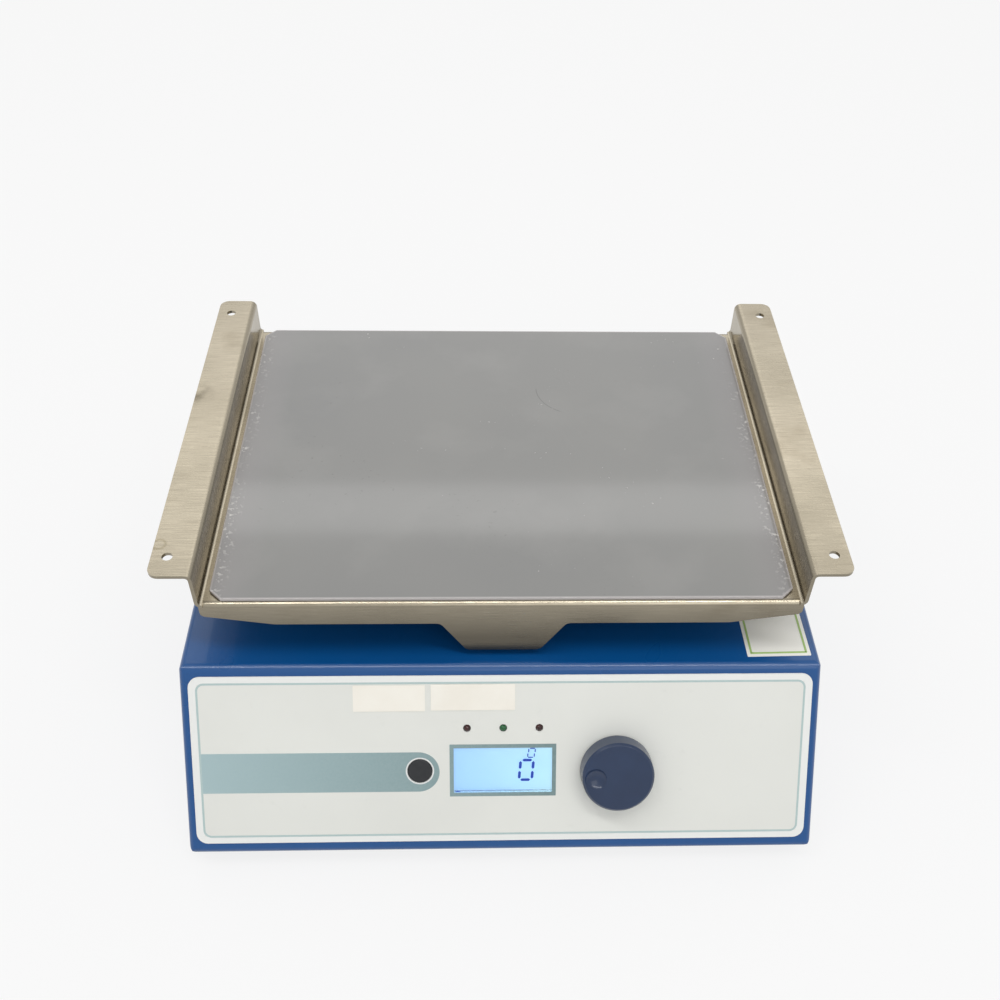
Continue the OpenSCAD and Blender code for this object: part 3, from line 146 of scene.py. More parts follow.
class Finish:
    """A procedural material; its patterns are laid in the piece's own coordinates, in metres."""

    def __init__(self, name, **sockets):
        self.material = bpy.data.materials.new(name)
        self.material.use_nodes = True
        self.tree = self.material.node_tree
        self.shader = self.tree.nodes["Principled BSDF"]
        for socket, value in sockets.items():
            self.shader.inputs[socket.replace("_", " ")].default_value = value
        self.place = self.node("ShaderNodeTexCoord").outputs["Object"]
        self.normal = None

    def node(self, kind, **settings):
        made = self.tree.nodes.new(kind)
        for setting, value in settings.items():
            setattr(made, setting, value)
        return made

    def feed(self, socket, value):
        """Links an output to a socket, or sets the socket to a number or a colour."""
        if hasattr(value, "links"):
            self.tree.links.new(value, socket)
        elif hasattr(value, "__len__") and len(value) == 3 and socket.type == "RGBA":
            socket.default_value = (*value, 1)
        else:
            socket.default_value = value

    def maths(self, kind, a, b=0.0):
        """One step of arithmetic on the values a and b."""
        made = self.node("ShaderNodeMath", operation=kind)
        self.feed(made.inputs[0], a)
        self.feed(made.inputs[1], b)
        return made.outputs[0]

    def clouds(self, per_metre, detail=2.0, stretch=(1, 1, 1), shift=(0, 0, 0), place=None):
        """Soft noise with so many clouds to the metre."""
        moved = self.node("ShaderNodeMapping")
        self.feed(moved.inputs["Vector"], place or self.place)
        moved.inputs["Scale"].default_value = stretch
        moved.inputs["Location"].default_value = shift
        noise = self.node("ShaderNodeTexNoise")
        self.feed(noise.inputs["Vector"], moved.outputs[0])
        noise.inputs["Scale"].default_value = per_metre
        noise.inputs["Detail"].default_value = detail
        return noise.outputs["Fac"]

    def level(self, value, low, high, to_low=0.0, to_high=1.0):
        """Carries low..high over to to_low..to_high and stops at both ends."""
        made = self.node("ShaderNodeMapRange")
        for socket, number in zip(made.inputs, (value, low, high, to_low, to_high)):
            self.feed(socket, number)
        return made.outputs[0]

    def mix(self, share, a, b):
        """Colour a with a share of colour b."""
        made = self.node("ShaderNodeMix", data_type="RGBA")
        self.feed(made.inputs[0], share)
        self.feed(made.inputs[6], a)
        self.feed(made.inputs[7], b)
        return made.outputs[2]

    def relief(self, height, depth):
        """Raises the surface by the pattern, on top of any relief given before."""
        bump = self.node("ShaderNodeBump")
        bump.inputs["Distance"].default_value = depth
        bump.inputs["Strength"].default_value = 1
        self.feed(bump.inputs["Height"], height)
        if self.normal:
            self.feed(bump.inputs["Normal"], self.normal)
        self.normal = bump.outputs[0]
        self.feed(self.shader.inputs["Normal"], self.normal)

    def colour(self, value):
        self.feed(self.shader.inputs["Base Color"], value)

    def roughness(self, value):
        self.feed(self.shader.inputs["Roughness"], value)

    def two_tone(self, pattern, dark, light, smooth, rough):
        """Colour and roughness that follow one pattern."""
        self.colour(self.mix(pattern, dark, light))
        self.roughness(self.level(pattern, 0.3, 0.7, smooth, rough))


def coat(material, *names):
    """Gives CAD solids their finish."""
    for name in names:
        for kept in solids[name].material_slots:
            kept.material = material


zinc = Finish("zinc_plating", Metallic=1.0)
zinc_cloud = zinc.clouds(90, 4)
zinc_line = zinc.clouds(60, 2, stretch=(0.4, 14, 14))
zinc.colour(zinc.mix(zinc.level(zinc_cloud, 0.35, 0.65), (0.50, 0.51, 0.52), (0.66, 0.67, 0.67)))
zinc.roughness(zinc.level(zinc_line, 0.3, 0.7, 0.34, 0.5))
zinc.relief(zinc_line, 0.00003)
coat(zinc.material, "base_plate", "inner_bridge", "motor_bracket", "rocker_beam")

# ---------------------------------------------------------------- rubber feet
# Four moulded rubber feet, each held by a screw sunk in its middle. Dull black with a dusty bloom
# and the fine grain of the mould.

rubber = Finish("foot_rubber", Specular_IOR_Level=0.35)
rubber_dust = rubber.clouds(240, 4)
rubber.colour(rubber.mix(rubber.level(rubber_dust, 0.4, 0.75), (0.012, 0.012, 0.013), (0.05, 0.049, 0.047)))
rubber.roughness(rubber.level(rubber_dust, 0.3, 0.7, 0.6, 0.85))
rubber.relief(rubber.clouds(2600, 2), 0.00004)


def smoothed(name, body, material, angle=28, reshape=None):
    """Stands a copy of a solid in for it, shaded smoothly over its bends and rounded edges."""
    piece = solids[name].copy()
    piece.data = solids[name].data.copy()
    piece.name = name + "_finished"
    scene.collection.objects.link(piece)
    bpy.ops.object.select_all(action="DESELECT")
    piece.select_set(True)
    bpy.context.view_layer.objects.active = piece
    bpy.ops.mesh.customdata_custom_splitnormals_clear()
    bpy.ops.object.mode_set(mode="EDIT")
    bpy.ops.mesh.select_all(action="SELECT")
    bpy.ops.mesh.remove_doubles(threshold=0.000002)
    bpy.ops.object.mode_set(mode="OBJECT")
    if reshape:
        reshape(piece)
    bpy.ops.object.shade_smooth_by_angle(angle=math.radians(angle))
    even = piece.modifiers.new("even_shading", "WEIGHTED_NORMAL")
    even.keep_sharp = True
    even.weight = 80
    bpy.ops.object.modifier_apply(modifier=even.name)
    piece.data.materials.clear()
    piece.data.materials.append(material)
    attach(piece, body)
    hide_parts(name)
    piece.select_set(False)


smoothed("rubber_feet", "case", rubber.material)

# ---------------------------------------------------------------- screws
# Zinc-plated steel machine screws, pan heads and countersunk heads. They hold the feet, the base
# plate, the inner bridge and the platform, and their plating is bright with soft grey clouds.

screw_plating = Finish("screw_plating", Metallic=1.0)
screw_cloud = screw_plating.clouds(900, 3)
screw_plating.two_tone(screw_cloud, (0.42, 0.42, 0.42), (0.68, 0.68, 0.66), 0.25, 0.42)
screw_plating.relief(screw_plating.clouds(5000, 2), 0.00001)
coat(screw_plating.material, "foot_screws", "case_screws", "inner_screws", "platform_screws")

# ---------------------------------------------------------------- pivot blocks, fork and crank
# Machined aluminium: two pivot blocks bolted through the case top, the fork that hangs from the
# shaft and the crank disc that swings it. Cutter lines run round and across the faces.

milled = Finish("milled_aluminium", Metallic=1.0)
milled_line = milled.clouds(500, 2, stretch=(0.15, 1, 6))
milled_cloud = milled.clouds(120, 3)
milled.colour(milled.mix(milled_cloud, (0.56, 0.57, 0.58), (0.70, 0.71, 0.72)))
milled.roughness(milled.level(milled_line, 0.3, 0.7, 0.28, 0.42))
milled.relief(milled_line, 0.00002)
coat(milled.material, "drive_fork", "crank_disc")
smoothed("pivot_block_front", "case", milled.material)
smoothed("pivot_block_rear", "case", milled.material)

black_oxide = Finish("black_oxide", Metallic=1.0)
oxide_cloud = black_oxide.clouds(700, 3)
oxide_wear = black_oxide.level(oxide_cloud, 0.5, 0.8)
black_oxide.colour(black_oxide.mix(oxide_wear, (0.035, 0.035, 0.037), (0.12, 0.115, 0.11)))
black_oxide.roughness(black_oxide.level(oxide_cloud, 0.3, 0.7, 0.35, 0.55))
black_oxide.relief(black_oxide.clouds(4000, 2), 0.00001)
coat(black_oxide.material, "pivot_block_screws", "shaft_clips", "fork_set_screw")

# ---------------------------------------------------------------- shaft, bushes and washers
# Ground steel shaft in sintered bronze bushes, held endways by nylon washers and snap rings. The
# crank pin, its roller and the encoder's turned parts are the same bright steel.

ground = Finish("ground_steel", Metallic=1.0)
ground_line = ground.clouds(900, 2, stretch=(1, 5, 1))
ground.colour(ground.mix(ground.clouds(150, 3), (0.60, 0.61, 0.62), (0.74, 0.75, 0.76)))
ground.roughness(ground.level(ground_line, 0.3, 0.7, 0.16, 0.28))
ground.relief(ground_line, 0.000008)
coat(
    ground.material, "pivot_shaft", "output_shaft", "crank_pin", "crank_roller",
    "encoder_shaft", "encoder_body", "encoder_nut",
)

bronze = Finish("sintered_bronze", Metallic=1.0)
bronze_pore = bronze.clouds(3200, 3)
bronze.colour(bronze.mix(bronze.level(bronze_pore, 0.35, 0.6), (0.24, 0.15, 0.07), (0.55, 0.38, 0.19)))
bronze.roughness(bronze.level(bronze_pore, 0.3, 0.7, 0.55, 0.35))
bronze.relief(bronze_pore, 0.00003)
coat(bronze.material, "pivot_bushes")

nylon = Finish("natural_nylon", Subsurface_Weight=0.1, Specular_IOR_Level=0.4)
nylon_cloud = nylon.clouds(300, 3)
nylon.two_tone(nylon_cloud, (0.72, 0.70, 0.63), (0.82, 0.80, 0.75), 0.4, 0.55)
nylon.relief(nylon.clouds(2400, 2), 0.00001)
coat(nylon.material, "thrust_washers", "board_spacers")

# ---------------------------------------------------------------- gearmotor and sensor
# Offset gearbox with a satin steel can, a black motor behind it, and a slotted light sensor that
# reads the black speed disc.

gear_can = Finish("gearbox_can", Metallic=1.0)
gear_line = gear_can.clouds(700, 2, stretch=(1, 7, 1))
gear_can.colour(gear_can.mix(gear_can.clouds(110, 3), (0.55, 0.56, 0.57), (0.68, 0.69, 0.70)))
gear_can.roughness(gear_can.level(gear_line, 0.3, 0.7, 0.26, 0.4))
gear_can.relief(gear_line, 0.000015)
coat(gear_can.material, "gearbox")

motor_paint = Finish("motor_paint", Specular_IOR_Level=0.5)
motor_cloud = motor_paint.clouds(200, 3)
motor_paint.two_tone(motor_cloud, (0.012, 0.012, 0.014), (0.028, 0.028, 0.031), 0.32, 0.5)
motor_paint.relief(motor_paint.clouds(2200, 2), 0.00002)
coat(motor_paint.material, "motor")

moulded = Finish("moulded_black", Specular_IOR_Level=0.45)
moulded_cloud = moulded.clouds(160, 3)
moulded.two_tone(moulded_cloud, (0.010, 0.010, 0.011), (0.024, 0.024, 0.026), 0.38, 0.52)
moulded.relief(moulded.clouds(5200, 2), 0.00002)
coat(
    moulded.material, "speed_sensor", "speed_disc", "display_holder", "mode_switch", "cable_plugs",
    "mains_inlet", "switch_frame", "encoder_plunger",
)

# ---------------------------------------------------------------- circuit boards
# Two green boards: one behind the console on brass pillars, one on the base with the transformer,
# the heat sink and two capacitors. Tracks show as paler lanes under the solder mask.

board = Finish("solder_mask", Specular_IOR_Level=0.5, Coat_Weight=0.3, Coat_Roughness=0.2)
tracks = board.node("ShaderNodeTexBrick")
board.feed(tracks.inputs["Vector"], board.place)
tracks.inputs["Scale"].default_value = 220
tracks.inputs["Mortar Size"].default_value = 0.03
tracks.inputs["Color1"].default_value = (0.010, 0.090, 0.030, 1)
tracks.inputs["Color2"].default_value = (0.014, 0.115, 0.040, 1)
tracks.inputs["Mortar"].default_value = (0.030, 0.190, 0.075, 1)
mask_cloud = board.level(board.clouds(80, 3), 0.3, 0.9, 0, 0.5)
board.colour(board.mix(mask_cloud, tracks.outputs[0], (0.012, 0.10, 0.035)))
board.roughness(board.level(board.clouds(600, 2), 0.3, 0.7, 0.3, 0.45))
board.relief(tracks.outputs["Fac"], 0.00002)
coat(board.material, "control_board", "power_board")

pillar_brass = Finish("pillar_brass", Metallic=1.0)
brass_cloud = pillar_brass.clouds(500, 3)
pillar_brass.two_tone(brass_cloud, (0.50, 0.36, 0.13), (0.68, 0.52, 0.23), 0.22, 0.38)
pillar_brass.relief(pillar_brass.clouds(3000, 2), 0.00001)
coat(pillar_brass.material, "board_standoffs")

tinned = Finish("tinned_brass", Metallic=1.0)
tin_cloud = tinned.clouds(800, 3)
tinned.two_tone(tin_cloud, (0.50, 0.46, 0.36), (0.72, 0.68, 0.56), 0.25, 0.42)
tinned.relief(tinned.clouds(3600, 2), 0.00001)
coat(tinned.material, "inlet_pins")

laminations = Finish("varnished_laminations", Specular_IOR_Level=0.5, Coat_Weight=0.4, Coat_Roughness=0.3)
layers = laminations.clouds(1800, 1, stretch=(0.02, 0.02, 1))
laminations.two_tone(layers, (0.055, 0.038, 0.024), (0.20, 0.15, 0.10), 0.35, 0.5)
laminations.relief(layers, 0.00006)
coat(laminations.material, "transformer")

anodised = Finish("black_anodising", Metallic=0.8)
anodised_line = anodised.clouds(700, 2, stretch=(1, 0.1, 1))
anodised.two_tone(anodised_line, (0.02, 0.021, 0.023), (0.045, 0.046, 0.05), 0.35, 0.5)
anodised.relief(anodised_line, 0.00002)
coat(anodised.material, "heatsink")

sleeve = Finish("capacitor_sleeve", Specular_IOR_Level=0.5)
sleeve_cloud = sleeve.clouds(260, 2)
sleeve.two_tone(sleeve_cloud, (0.012, 0.028, 0.10), (0.022, 0.045, 0.15), 0.22, 0.35)
sleeve.relief(sleeve.clouds(900, 2), 0.00002)
coat(sleeve.material, "capacitors")

ribbon = Finish("ribbon_cable", Specular_IOR_Level=0.4)
wires = ribbon.node("ShaderNodeTexWave", wave_type="BANDS", bands_direction="X")
ribbon.feed(wires.inputs["Vector"], ribbon.place)
wires.inputs["Scale"].default_value = 125
ribbon.colour(ribbon.mix(wires.outputs["Fac"], (0.16, 0.165, 0.17), (0.30, 0.305, 0.31)))
ribbon.roughness(ribbon.level(ribbon.clouds(300, 2), 0.3, 0.7, 0.4, 0.55))
ribbon.relief(wires.outputs["Fac"], 0.0002)
coat(ribbon.material, "ribbon_cable")

# ---------------------------------------------------------------- case
# Folded steel cover with a flat top and a console that leans back, powder coated deep blue inside
# and out, with a rear panel set into it. The coat has a faint orange peel and holds a little dust.

case_coat = Finish("blue_powder_coat", Specular_IOR_Level=0.42, Coat_Weight=0.35, Coat_Roughness=0.07)
coat_cloud = case_coat.clouds(12, 1)
coat_blue = case_coat.mix(coat_cloud, (0.0014, 0.070, 0.246), (0.0018, 0.076, 0.262))
coat_dust = case_coat.level(case_coat.clouds(1300, 1, shift=(0.3, 0.1, 0.7)), 0.80, 0.83, 0, 0.3)
case_coat.colour(case_coat.mix(coat_dust, coat_blue, (0.12, 0.20, 0.34)))
case_coat.roughness(case_coat.maths("ADD", case_coat.maths("MULTIPLY", case_coat.clouds(40, 1), 0.12), 0.24))
case_coat.relief(case_coat.clouds(640, 2), 0.00004)
smoothed("cover_shell", "case", case_coat.material)
smoothed("rear_panel", "case", case_coat.material)

# ---------------------------------------------------------------- front overlay
# Printed polyester film stuck on the console: a grey-white field with a paler rim, a thin grey-green
# line round the rim, a band that leads to the mode button and a frame round the display window.

case_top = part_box("cover_shell")[1].z
fold = Vector((0, -0.0833913, case_top))
lean = math.radians(34)
console_face = Matrix.Translation(fold) @ Matrix.Rotation(math.pi / 2 - lean, 4, "X")
film_top = 0.0005
ink_thickness = 0.00004
rim_half_width = 0.1335
rim_half_height = 0.0357
rim_middle_down = 0.0430

film = Finish("overlay_film", Specular_IOR_Level=0.45, Coat_Weight=0.15, Coat_Roughness=0.3)
film_axes = film.node("ShaderNodeMapping", vector_type="POINT")
film.feed(film_axes.inputs["Vector"], film.place)
film_axes.inputs["Location"].default_value = console_face.inverted().to_translation()
film_axes.inputs["Rotation"].default_value = console_face.inverted().to_euler()
film_spot = film.node("ShaderNodeSeparateXYZ")
film.feed(film_spot.inputs[0], film_axes.outputs[0])
from_side = film.maths("SUBTRACT", film.maths("ABSOLUTE", film_spot.outputs[0]), rim_half_width)
from_middle = film.maths("ABSOLUTE", film.maths("ADD", film_spot.outputs[1], rim_middle_down))
from_end = film.maths("SUBTRACT", from_middle, rim_half_height)
in_rim = film.level(film.maths("MAXIMUM", from_side, from_end), -0.0004, 0.0)
film_shade = film.level(film.clouds(14, 3), 0.3, 0.7)
field = film.mix(film_shade, (0.758, 0.765, 0.721), (0.800, 0.808, 0.762))
smudge = film.level(film.clouds(170, 5, shift=(0.2, 0.4, 0.1)), 0.66, 0.8, 0, 0.25)
field = film.mix(smudge, field, (0.67, 0.68, 0.64))
film.colour(film.mix(in_rim, field, (0.850, 0.862, 0.838)))
film.roughness(film.level(film.clouds(60, 3), 0.3, 0.7, 0.36, 0.5))
film.relief(film.clouds(3600, 2), 0.00001)
coat(film.material, "front_overlay")

ink = Finish("grey_green_ink", Specular_IOR_Level=0.45)
ink_axis = ink.node("ShaderNodeSeparateXYZ")
ink.feed(ink_axis.inputs[0], ink.place)
ink_shade = ink.level(ink_axis.outputs[0], -0.132, 0.02)
ink_grain = ink.level(ink.clouds(900, 2), 0.3, 0.7, 0, 0.12)
ink_tone = ink.mix(ink_shade, (0.385, 0.520, 0.540), (0.175, 0.262, 0.268))
ink.colour(ink.mix(ink_grain, ink_tone, (0.45, 0.55, 0.55)))
ink.roughness(ink.level(ink.clouds(80, 2), 0.3, 0.7, 0.38, 0.5))
ink.relief(ink.clouds(3600, 2), 0.00001)


def print_shape(
    name, left, down, width, height, corner,
    line=0.0, lift=film_top, thick=ink_thickness, steps=8, plane=console_face,
):
    """A thin layer on a face; on the console its upper left corner is measured from the fold down."""
    bpy.ops.object.select_all(action="DESELECT")
    bpy.ops.mesh.primitive_plane_add(size=1, enter_editmode=True)
    shape = bpy.context.object
    shape.name = name
    bpy.ops.transform.resize(value=(width, height, 1))
    if corner:
        bpy.ops.mesh.select_all(action="SELECT")
        bpy.ops.mesh.bevel(offset=corner, segments=steps, affect="VERTICES", clamp_overlap=False)
    if line:
        bpy.ops.mesh.select_all(action="SELECT")
        bpy.ops.mesh.inset(thickness=line)
        bpy.ops.mesh.delete(type="FACE")
    bpy.ops.mesh.select_all(action="SELECT")
    bpy.ops.mesh.extrude_region_move(TRANSFORM_OT_translate={"value": (0, 0, thick)})
    bpy.ops.mesh.select_all(action="SELECT")
    bpy.ops.mesh.remove_doubles(threshold=0.0000005)
    bpy.ops.mesh.normals_make_consistent(inside=False)
    bpy.ops.object.mode_set(mode="OBJECT")
    middle = (left + width / 2, -down - height / 2, lift)
    shape.matrix_world = plane @ Matrix.Translation(middle)
    bpy.ops.object.transform_apply(location=True, rotation=True, scale=True)
    return shape


def settle(piece, body, material):
    """Gives a piece its finish and the body it moves with."""
    piece.data.materials.clear()
    piece.data.materials.append(material)
    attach(piece, body)
    piece.select_set(False)


rim_ink = Finish("rim_ink", Specular_IOR_Level=0.45)
rim_grain = rim_ink.clouds(900, 2)
rim_ink.two_tone(rim_grain, (0.42, 0.54, 0.54), (0.50, 0.61, 0.60), 0.38, 0.5)
rim_ink.relief(rim_ink.clouds(3600, 2), 0.00001)
rim_line = print_shape("overlay_rim_line", -0.1339, 0.0069, 0.2678, 0.0722, corner=0.0036, line=0.0009)
settle(rim_line, "case", rim_ink.material)

band_end_x = -0.1331
band_thickness = 0.00003
band_radius = 0.00929
button_place = (-0.0370, -0.0482, 0)
mode_band = print_shape(
    "overlay_mode_band", -0.1460, 0.0394, 0.1177, 0.0186, band_radius, thick=band_thickness, steps=28
)
bpy.ops.object.mode_set(mode="EDIT")
bpy.ops.mesh.select_all(action="SELECT")
bpy.ops.mesh.bisect(plane_co=(band_end_x, 0, 0), plane_no=(1, 0, 0), use_fill=True, clear_inner=True)
bpy.ops.object.mode_set(mode="OBJECT")
bpy.ops.mesh.primitive_cylinder_add(vertices=72, radius=0.0057, depth=0.004)
button_hole = bpy.context.object
button_hole.matrix_world = console_face @ Matrix.Translation(button_place)
bpy.context.view_layer.objects.active = mode_band
hole_cut = mode_band.modifiers.new("button_hole", "BOOLEAN")
hole_cut.object = button_hole
bpy.ops.object.modifier_apply(modifier=hole_cut.name)
bpy.data.objects.remove(button_hole)
settle(mode_band, "case", ink.material)

display_frame = print_shape("overlay_display_frame", -0.0238, 0.0359, 0.0474, 0.0246, corner=0, line=0.0018)
settle(display_frame, "case", ink.material)

pale_ink = Finish("pale_ink", Specular_IOR_Level=0.45)
pale_grain = pale_ink.clouds(900, 2)
pale_ink.two_tone(pale_grain, (0.76, 0.78, 0.77), (0.84, 0.85, 0.84), 0.4, 0.5)
pale_ink.relief(pale_ink.clouds(3600, 2), 0.00001)
ring_size = 0.0126
ring_radius = 0.00629
mode_ring = print_shape(
    "overlay_mode_ring", -0.0433, 0.0419, ring_size, ring_size, ring_radius,
    line=0.0006, lift=film_top + band_thickness, steps=18,
)
settle(mode_ring, "case", pale_ink.material)

# ---------------------------------------------------------------- display
# Back-lit glass behind a clear window. The light is a little brighter towards its right end; two
# noughts and a dash are shown in dark blue, and a thin rule in a paler blue.

lit = Finish("lit_glass", Specular_IOR_Level=0.4, Roughness=0.3, Emission_Strength=0.62)
lit_axis = lit.node("ShaderNodeSeparateXYZ")
lit.feed(lit_axis.inputs[0], lit.place)
lit_share = lit.level(lit_axis.outputs[0], -0.02, 0.022)
lit_tone = lit.mix(lit_share, (0.42, 0.68, 0.96), (0.56, 0.84, 0.93))
lit_tone = lit.mix(lit.level(lit.clouds(60, 2), 0.3, 0.7, 0, 0.2), lit_tone, (0.36, 0.62, 0.93))
lit.colour(lit.mix(0.5, lit_tone, (0.1, 0.2, 0.3)))
lit.feed(lit.shader.inputs["Emission Color"], lit_tone)
lit.relief(lit.clouds(300, 1), 0.00001)
coat(lit.material, "display_glass")

window = Finish("clear_window", Transmission_Weight=1.0, IOR=1.3, Roughness=0.02)
window.colour(window.mix(window.clouds(200, 2), (0.97, 0.985, 1.0), (0.99, 0.995, 1.0)))
window.roughness(window.level(window.clouds(500, 3), 0.5, 0.75, 0.02, 0.09))
coat(window.material, "display_window")


stroke_lift = film_top + 0.00001
stroke_depth = 0.00003


def ink_bar(name, length, thickness, left, down, turn=0, lift=stroke_lift):
    """One stroke of a shown digit: a thin bar with pointed ends."""
    bpy.ops.object.select_all(action="DESELECT")
    bpy.ops.mesh.primitive_plane_add(size=1, enter_editmode=True)
    bar = bpy.context.object
    bar.name = name
    bpy.ops.transform.resize(value=(length, thickness, 1))
    bpy.ops.mesh.select_all(action="SELECT")
    bpy.ops.mesh.bevel(offset=thickness * 0.48, segments=1, affect="VERTICES", clamp_overlap=False)
    bpy.ops.mesh.select_all(action="SELECT")
    bpy.ops.mesh.extrude_region_move(TRANSFORM_OT_translate={"value": (0, 0, stroke_depth)})
    bpy.ops.mesh.select_all(action="SELECT")
    bpy.ops.mesh.normals_make_consistent(inside=False)
    bpy.ops.object.mode_set(mode="OBJECT")
    place = Matrix.Translation((left, -down, lift))
    bar.matrix_world = console_face @ place @ Matrix.Rotation(turn, 4, "Z")
    bpy.ops.object.transform_apply(location=True, rotation=True, scale=True)
    return bar


def nought(name, middle, top, width, height, stroke):
    """A shown nought of six strokes, leaning slightly to the right."""
    slant = 0.0004
    upright = height / 2 - stroke * 0.8
    upright_turn = math.pi / 2 - 0.07
    strokes = []
    for row, shift in ((0, slant), (1, -slant)):
        strokes.append((width - stroke * 1.1, middle + shift * 1.1, top + row * height, 0))
    for side in (-1, 1):
        for row, shift in ((0.25, slant / 2), (0.75, -slant / 2)):
            across = middle + side * width / 2 + shift
            strokes.append((upright, across, top + row * height, upright_turn))
    bars = [ink_bar(name, length, stroke, left, down, turn) for length, left, down, turn in strokes]
    bpy.ops.object.select_all(action="DESELECT")
    for bar in bars:
        bar.select_set(True)
    bpy.context.view_layer.objects.active = bars[0]
    bpy.ops.object.join()
    bars[0].name = name
    return bars[0]


shown = Finish("shown_strokes", Specular_IOR_Level=0.3)
shown_grain = shown.clouds(700, 2)
shown.two_tone(shown_grain, (0.018, 0.058, 0.42), (0.030, 0.088, 0.54), 0.35, 0.5)
large_nought = nought("display_large_nought", 0.0103, 0.0435, 0.0057, 0.0093, 0.00122)
settle(large_nought, "case", shown.material)
small_nought = nought("display_small_nought", 0.0126, 0.0380, 0.0029, 0.0042, 0.00050)
settle(small_nought, "case", shown.material)
faint = Finish("faint_strokes", Specular_IOR_Level=0.3)
faint_grain = faint.clouds(300, 2)
faint.two_tone(faint_grain, (0.16, 0.33, 0.66), (0.26, 0.46, 0.76), 0.35, 0.5)
rule = ink_bar("display_rule", 0.0340, 0.00022, -0.0036, 0.0577, turn=0.004)
settle(rule, "case", faint.material)
dash = ink_bar("display_dash", 0.0024, 0.00045, -0.0202, 0.0581, lift=film_top + 0.00002)
settle(dash, "case", shown.material)

# ---------------------------------------------------------------- lamps
# Three small lamps with diffusing domes, unlit: a dark green one between two dark red ones. They
# are moulded of tinted plastic, with a glossy skin.

for lens_name, lens_slot, deep, pale in (
    ("red_lamps", "lamp_red", (0.018, 0.001, 0.001), (0.055, 0.005, 0.004)),
    ("green_lamp", "lamp_green", (0.003, 0.050, 0.012), (0.010, 0.125, 0.035)),
):
    lens = Finish(lens_name + "_lens", Specular_IOR_Level=0.4, Coat_Weight=0.3, Coat_Roughness=0.06)
    lens_cloud = lens.clouds(700, 2)
    lens.colour(lens.mix(lens.level(lens_cloud, 0.35, 0.65), deep, pale))
    lens.roughness(lens.level(lens_cloud, 0.3, 0.7, 0.14, 0.25))
    lens.relief(lens.clouds(2600, 1), 0.00001)
    smoothed(lens_name, "case", lens.material, angle=50)

# ---------------------------------------------------------------- mode button
# Flat round cap of hard satin plastic that stands a little out of the film. It is moulded, with a
# fine grain, and rests on the push switch behind the console.

cap_plastic = Finish("button_plastic", Specular_IOR_Level=0.5)
cap_cloud = cap_plastic.clouds(420, 3)
cap_plastic.two_tone(cap_cloud, (0.010, 0.012, 0.014), (0.022, 0.024, 0.027), 0.28, 0.4)
cap_plastic.relief(cap_plastic.clouds(5200, 2), 0.00001)
smoothed("mode_button", "button", cap_plastic.material)

# ---------------------------------------------------------------- knob
# Moulded knob of navy thermoplastic with a bevelled rim and a finger dimple, pushed on the encoder
# shaft. Its skin is satin, with the fine grain of the mould.

navy = Finish("knob_plastic", Specular_IOR_Level=0.4, Coat_Weight=0.5, Coat_Roughness=0.08)
navy_cloud = navy.clouds(70, 3)
navy.colour(navy.mix(navy.level(navy_cloud, 0.3, 0.7), (0.005, 0.021, 0.066), (0.008, 0.028, 0.082)))
navy.roughness(navy.level(navy.clouds(60, 3), 0.3, 0.7, 0.30, 0.42))
navy.relief(navy.clouds(5200, 2), 0.000012)


def flatten_dimple(knob):
    """Lets the finger dimple rise to a shallow dish, its rim left where it is."""
    dish_middle = Vector((0.04045, -0.0488))
    dish_radius = 0.0049
    dish_depth = 0.003
    kept_depth = 0.68
    to_face = console_face.inverted()
    spots = [to_face @ corner.co for corner in knob.data.vertices]
    knob_top = max(spot.z for spot in spots)
    for corner, spot in zip(knob.data.vertices, spots):
        in_dish = (spot.xy - dish_middle).length < dish_radius
        if in_dish and knob_top - dish_depth < spot.z < knob_top:
            spot.z = knob_top + (spot.z - knob_top) * kept_depth
            corner.co = console_face @ spot


smoothed("knob", "knob", navy.material, angle=20, reshape=flatten_dimple)

# ---------------------------------------------------------------- platform
# One sheet of stainless steel with upturned, outward-bent sides and an apron folded down at each
# end, brushed before it was folded, so the grain runs up the walls as well. Handling has left soft
# stains, an oily mark and a ring on one flange, and painted shade darkens the front apron low down.

stainless = Finish("brushed_stainless", Metallic=1.0)
steel_spot = stainless.node("ShaderNodeSeparateXYZ")
stainless.feed(steel_spot.inputs[0], stainless.place)
steel_facing = stainless.node("ShaderNodeSeparateXYZ")
stainless.feed(steel_facing.inputs[0], stainless.node("ShaderNodeTexCoord").outputs["Normal"])
on_wall = stainless.level(stainless.maths("ABSOLUTE", steel_facing.outputs[0]), 0.6, 0.8)
along = stainless.node("ShaderNodeMix", data_type="FLOAT")
for socket, value in ((0, on_wall), (2, steel_spot.outputs[0]), (3, steel_spot.outputs[2])):
    stainless.feed(along.inputs[socket], value)
off_wall = stainless.maths("SUBTRACT", 1.0, on_wall)
below = stainless.maths("MULTIPLY", steel_spot.outputs[2], off_wall)
across = stainless.maths("ADD", steel_spot.outputs[1], below)
unfolded = stainless.node("ShaderNodeCombineXYZ")
stainless.feed(unfolded.inputs[0], along.outputs[0])
stainless.feed(unfolded.inputs[1], across)
grain = stainless.clouds(2300, 3, stretch=(0.035, 1, 1), place=unfolded.outputs[0])
long_grain = stainless.clouds(700, 2, stretch=(0.02, 1, 1), place=unfolded.outputs[0])
rolling = stainless.clouds(26, 3, stretch=(0.25, 1, 1), place=unfolded.outputs[0])
handling = stainless.clouds(13, 4)
stain = stainless.level(stainless.clouds(42, 5, shift=(0.7, 0.2, 0.4)), 0.58, 0.78)
rolled = stainless.level(rolling, 0.3, 0.7)
handled = stainless.level(handling, 0.38, 0.66, 0, 0.45)
brushed = stainless.level(grain, 0.3, 0.7, 0, 0.42)
stained = stainless.maths("MULTIPLY", stain, 0.4)
steel_tone = stainless.mix(rolled, (0.372, 0.330, 0.252), (0.470, 0.421, 0.328))
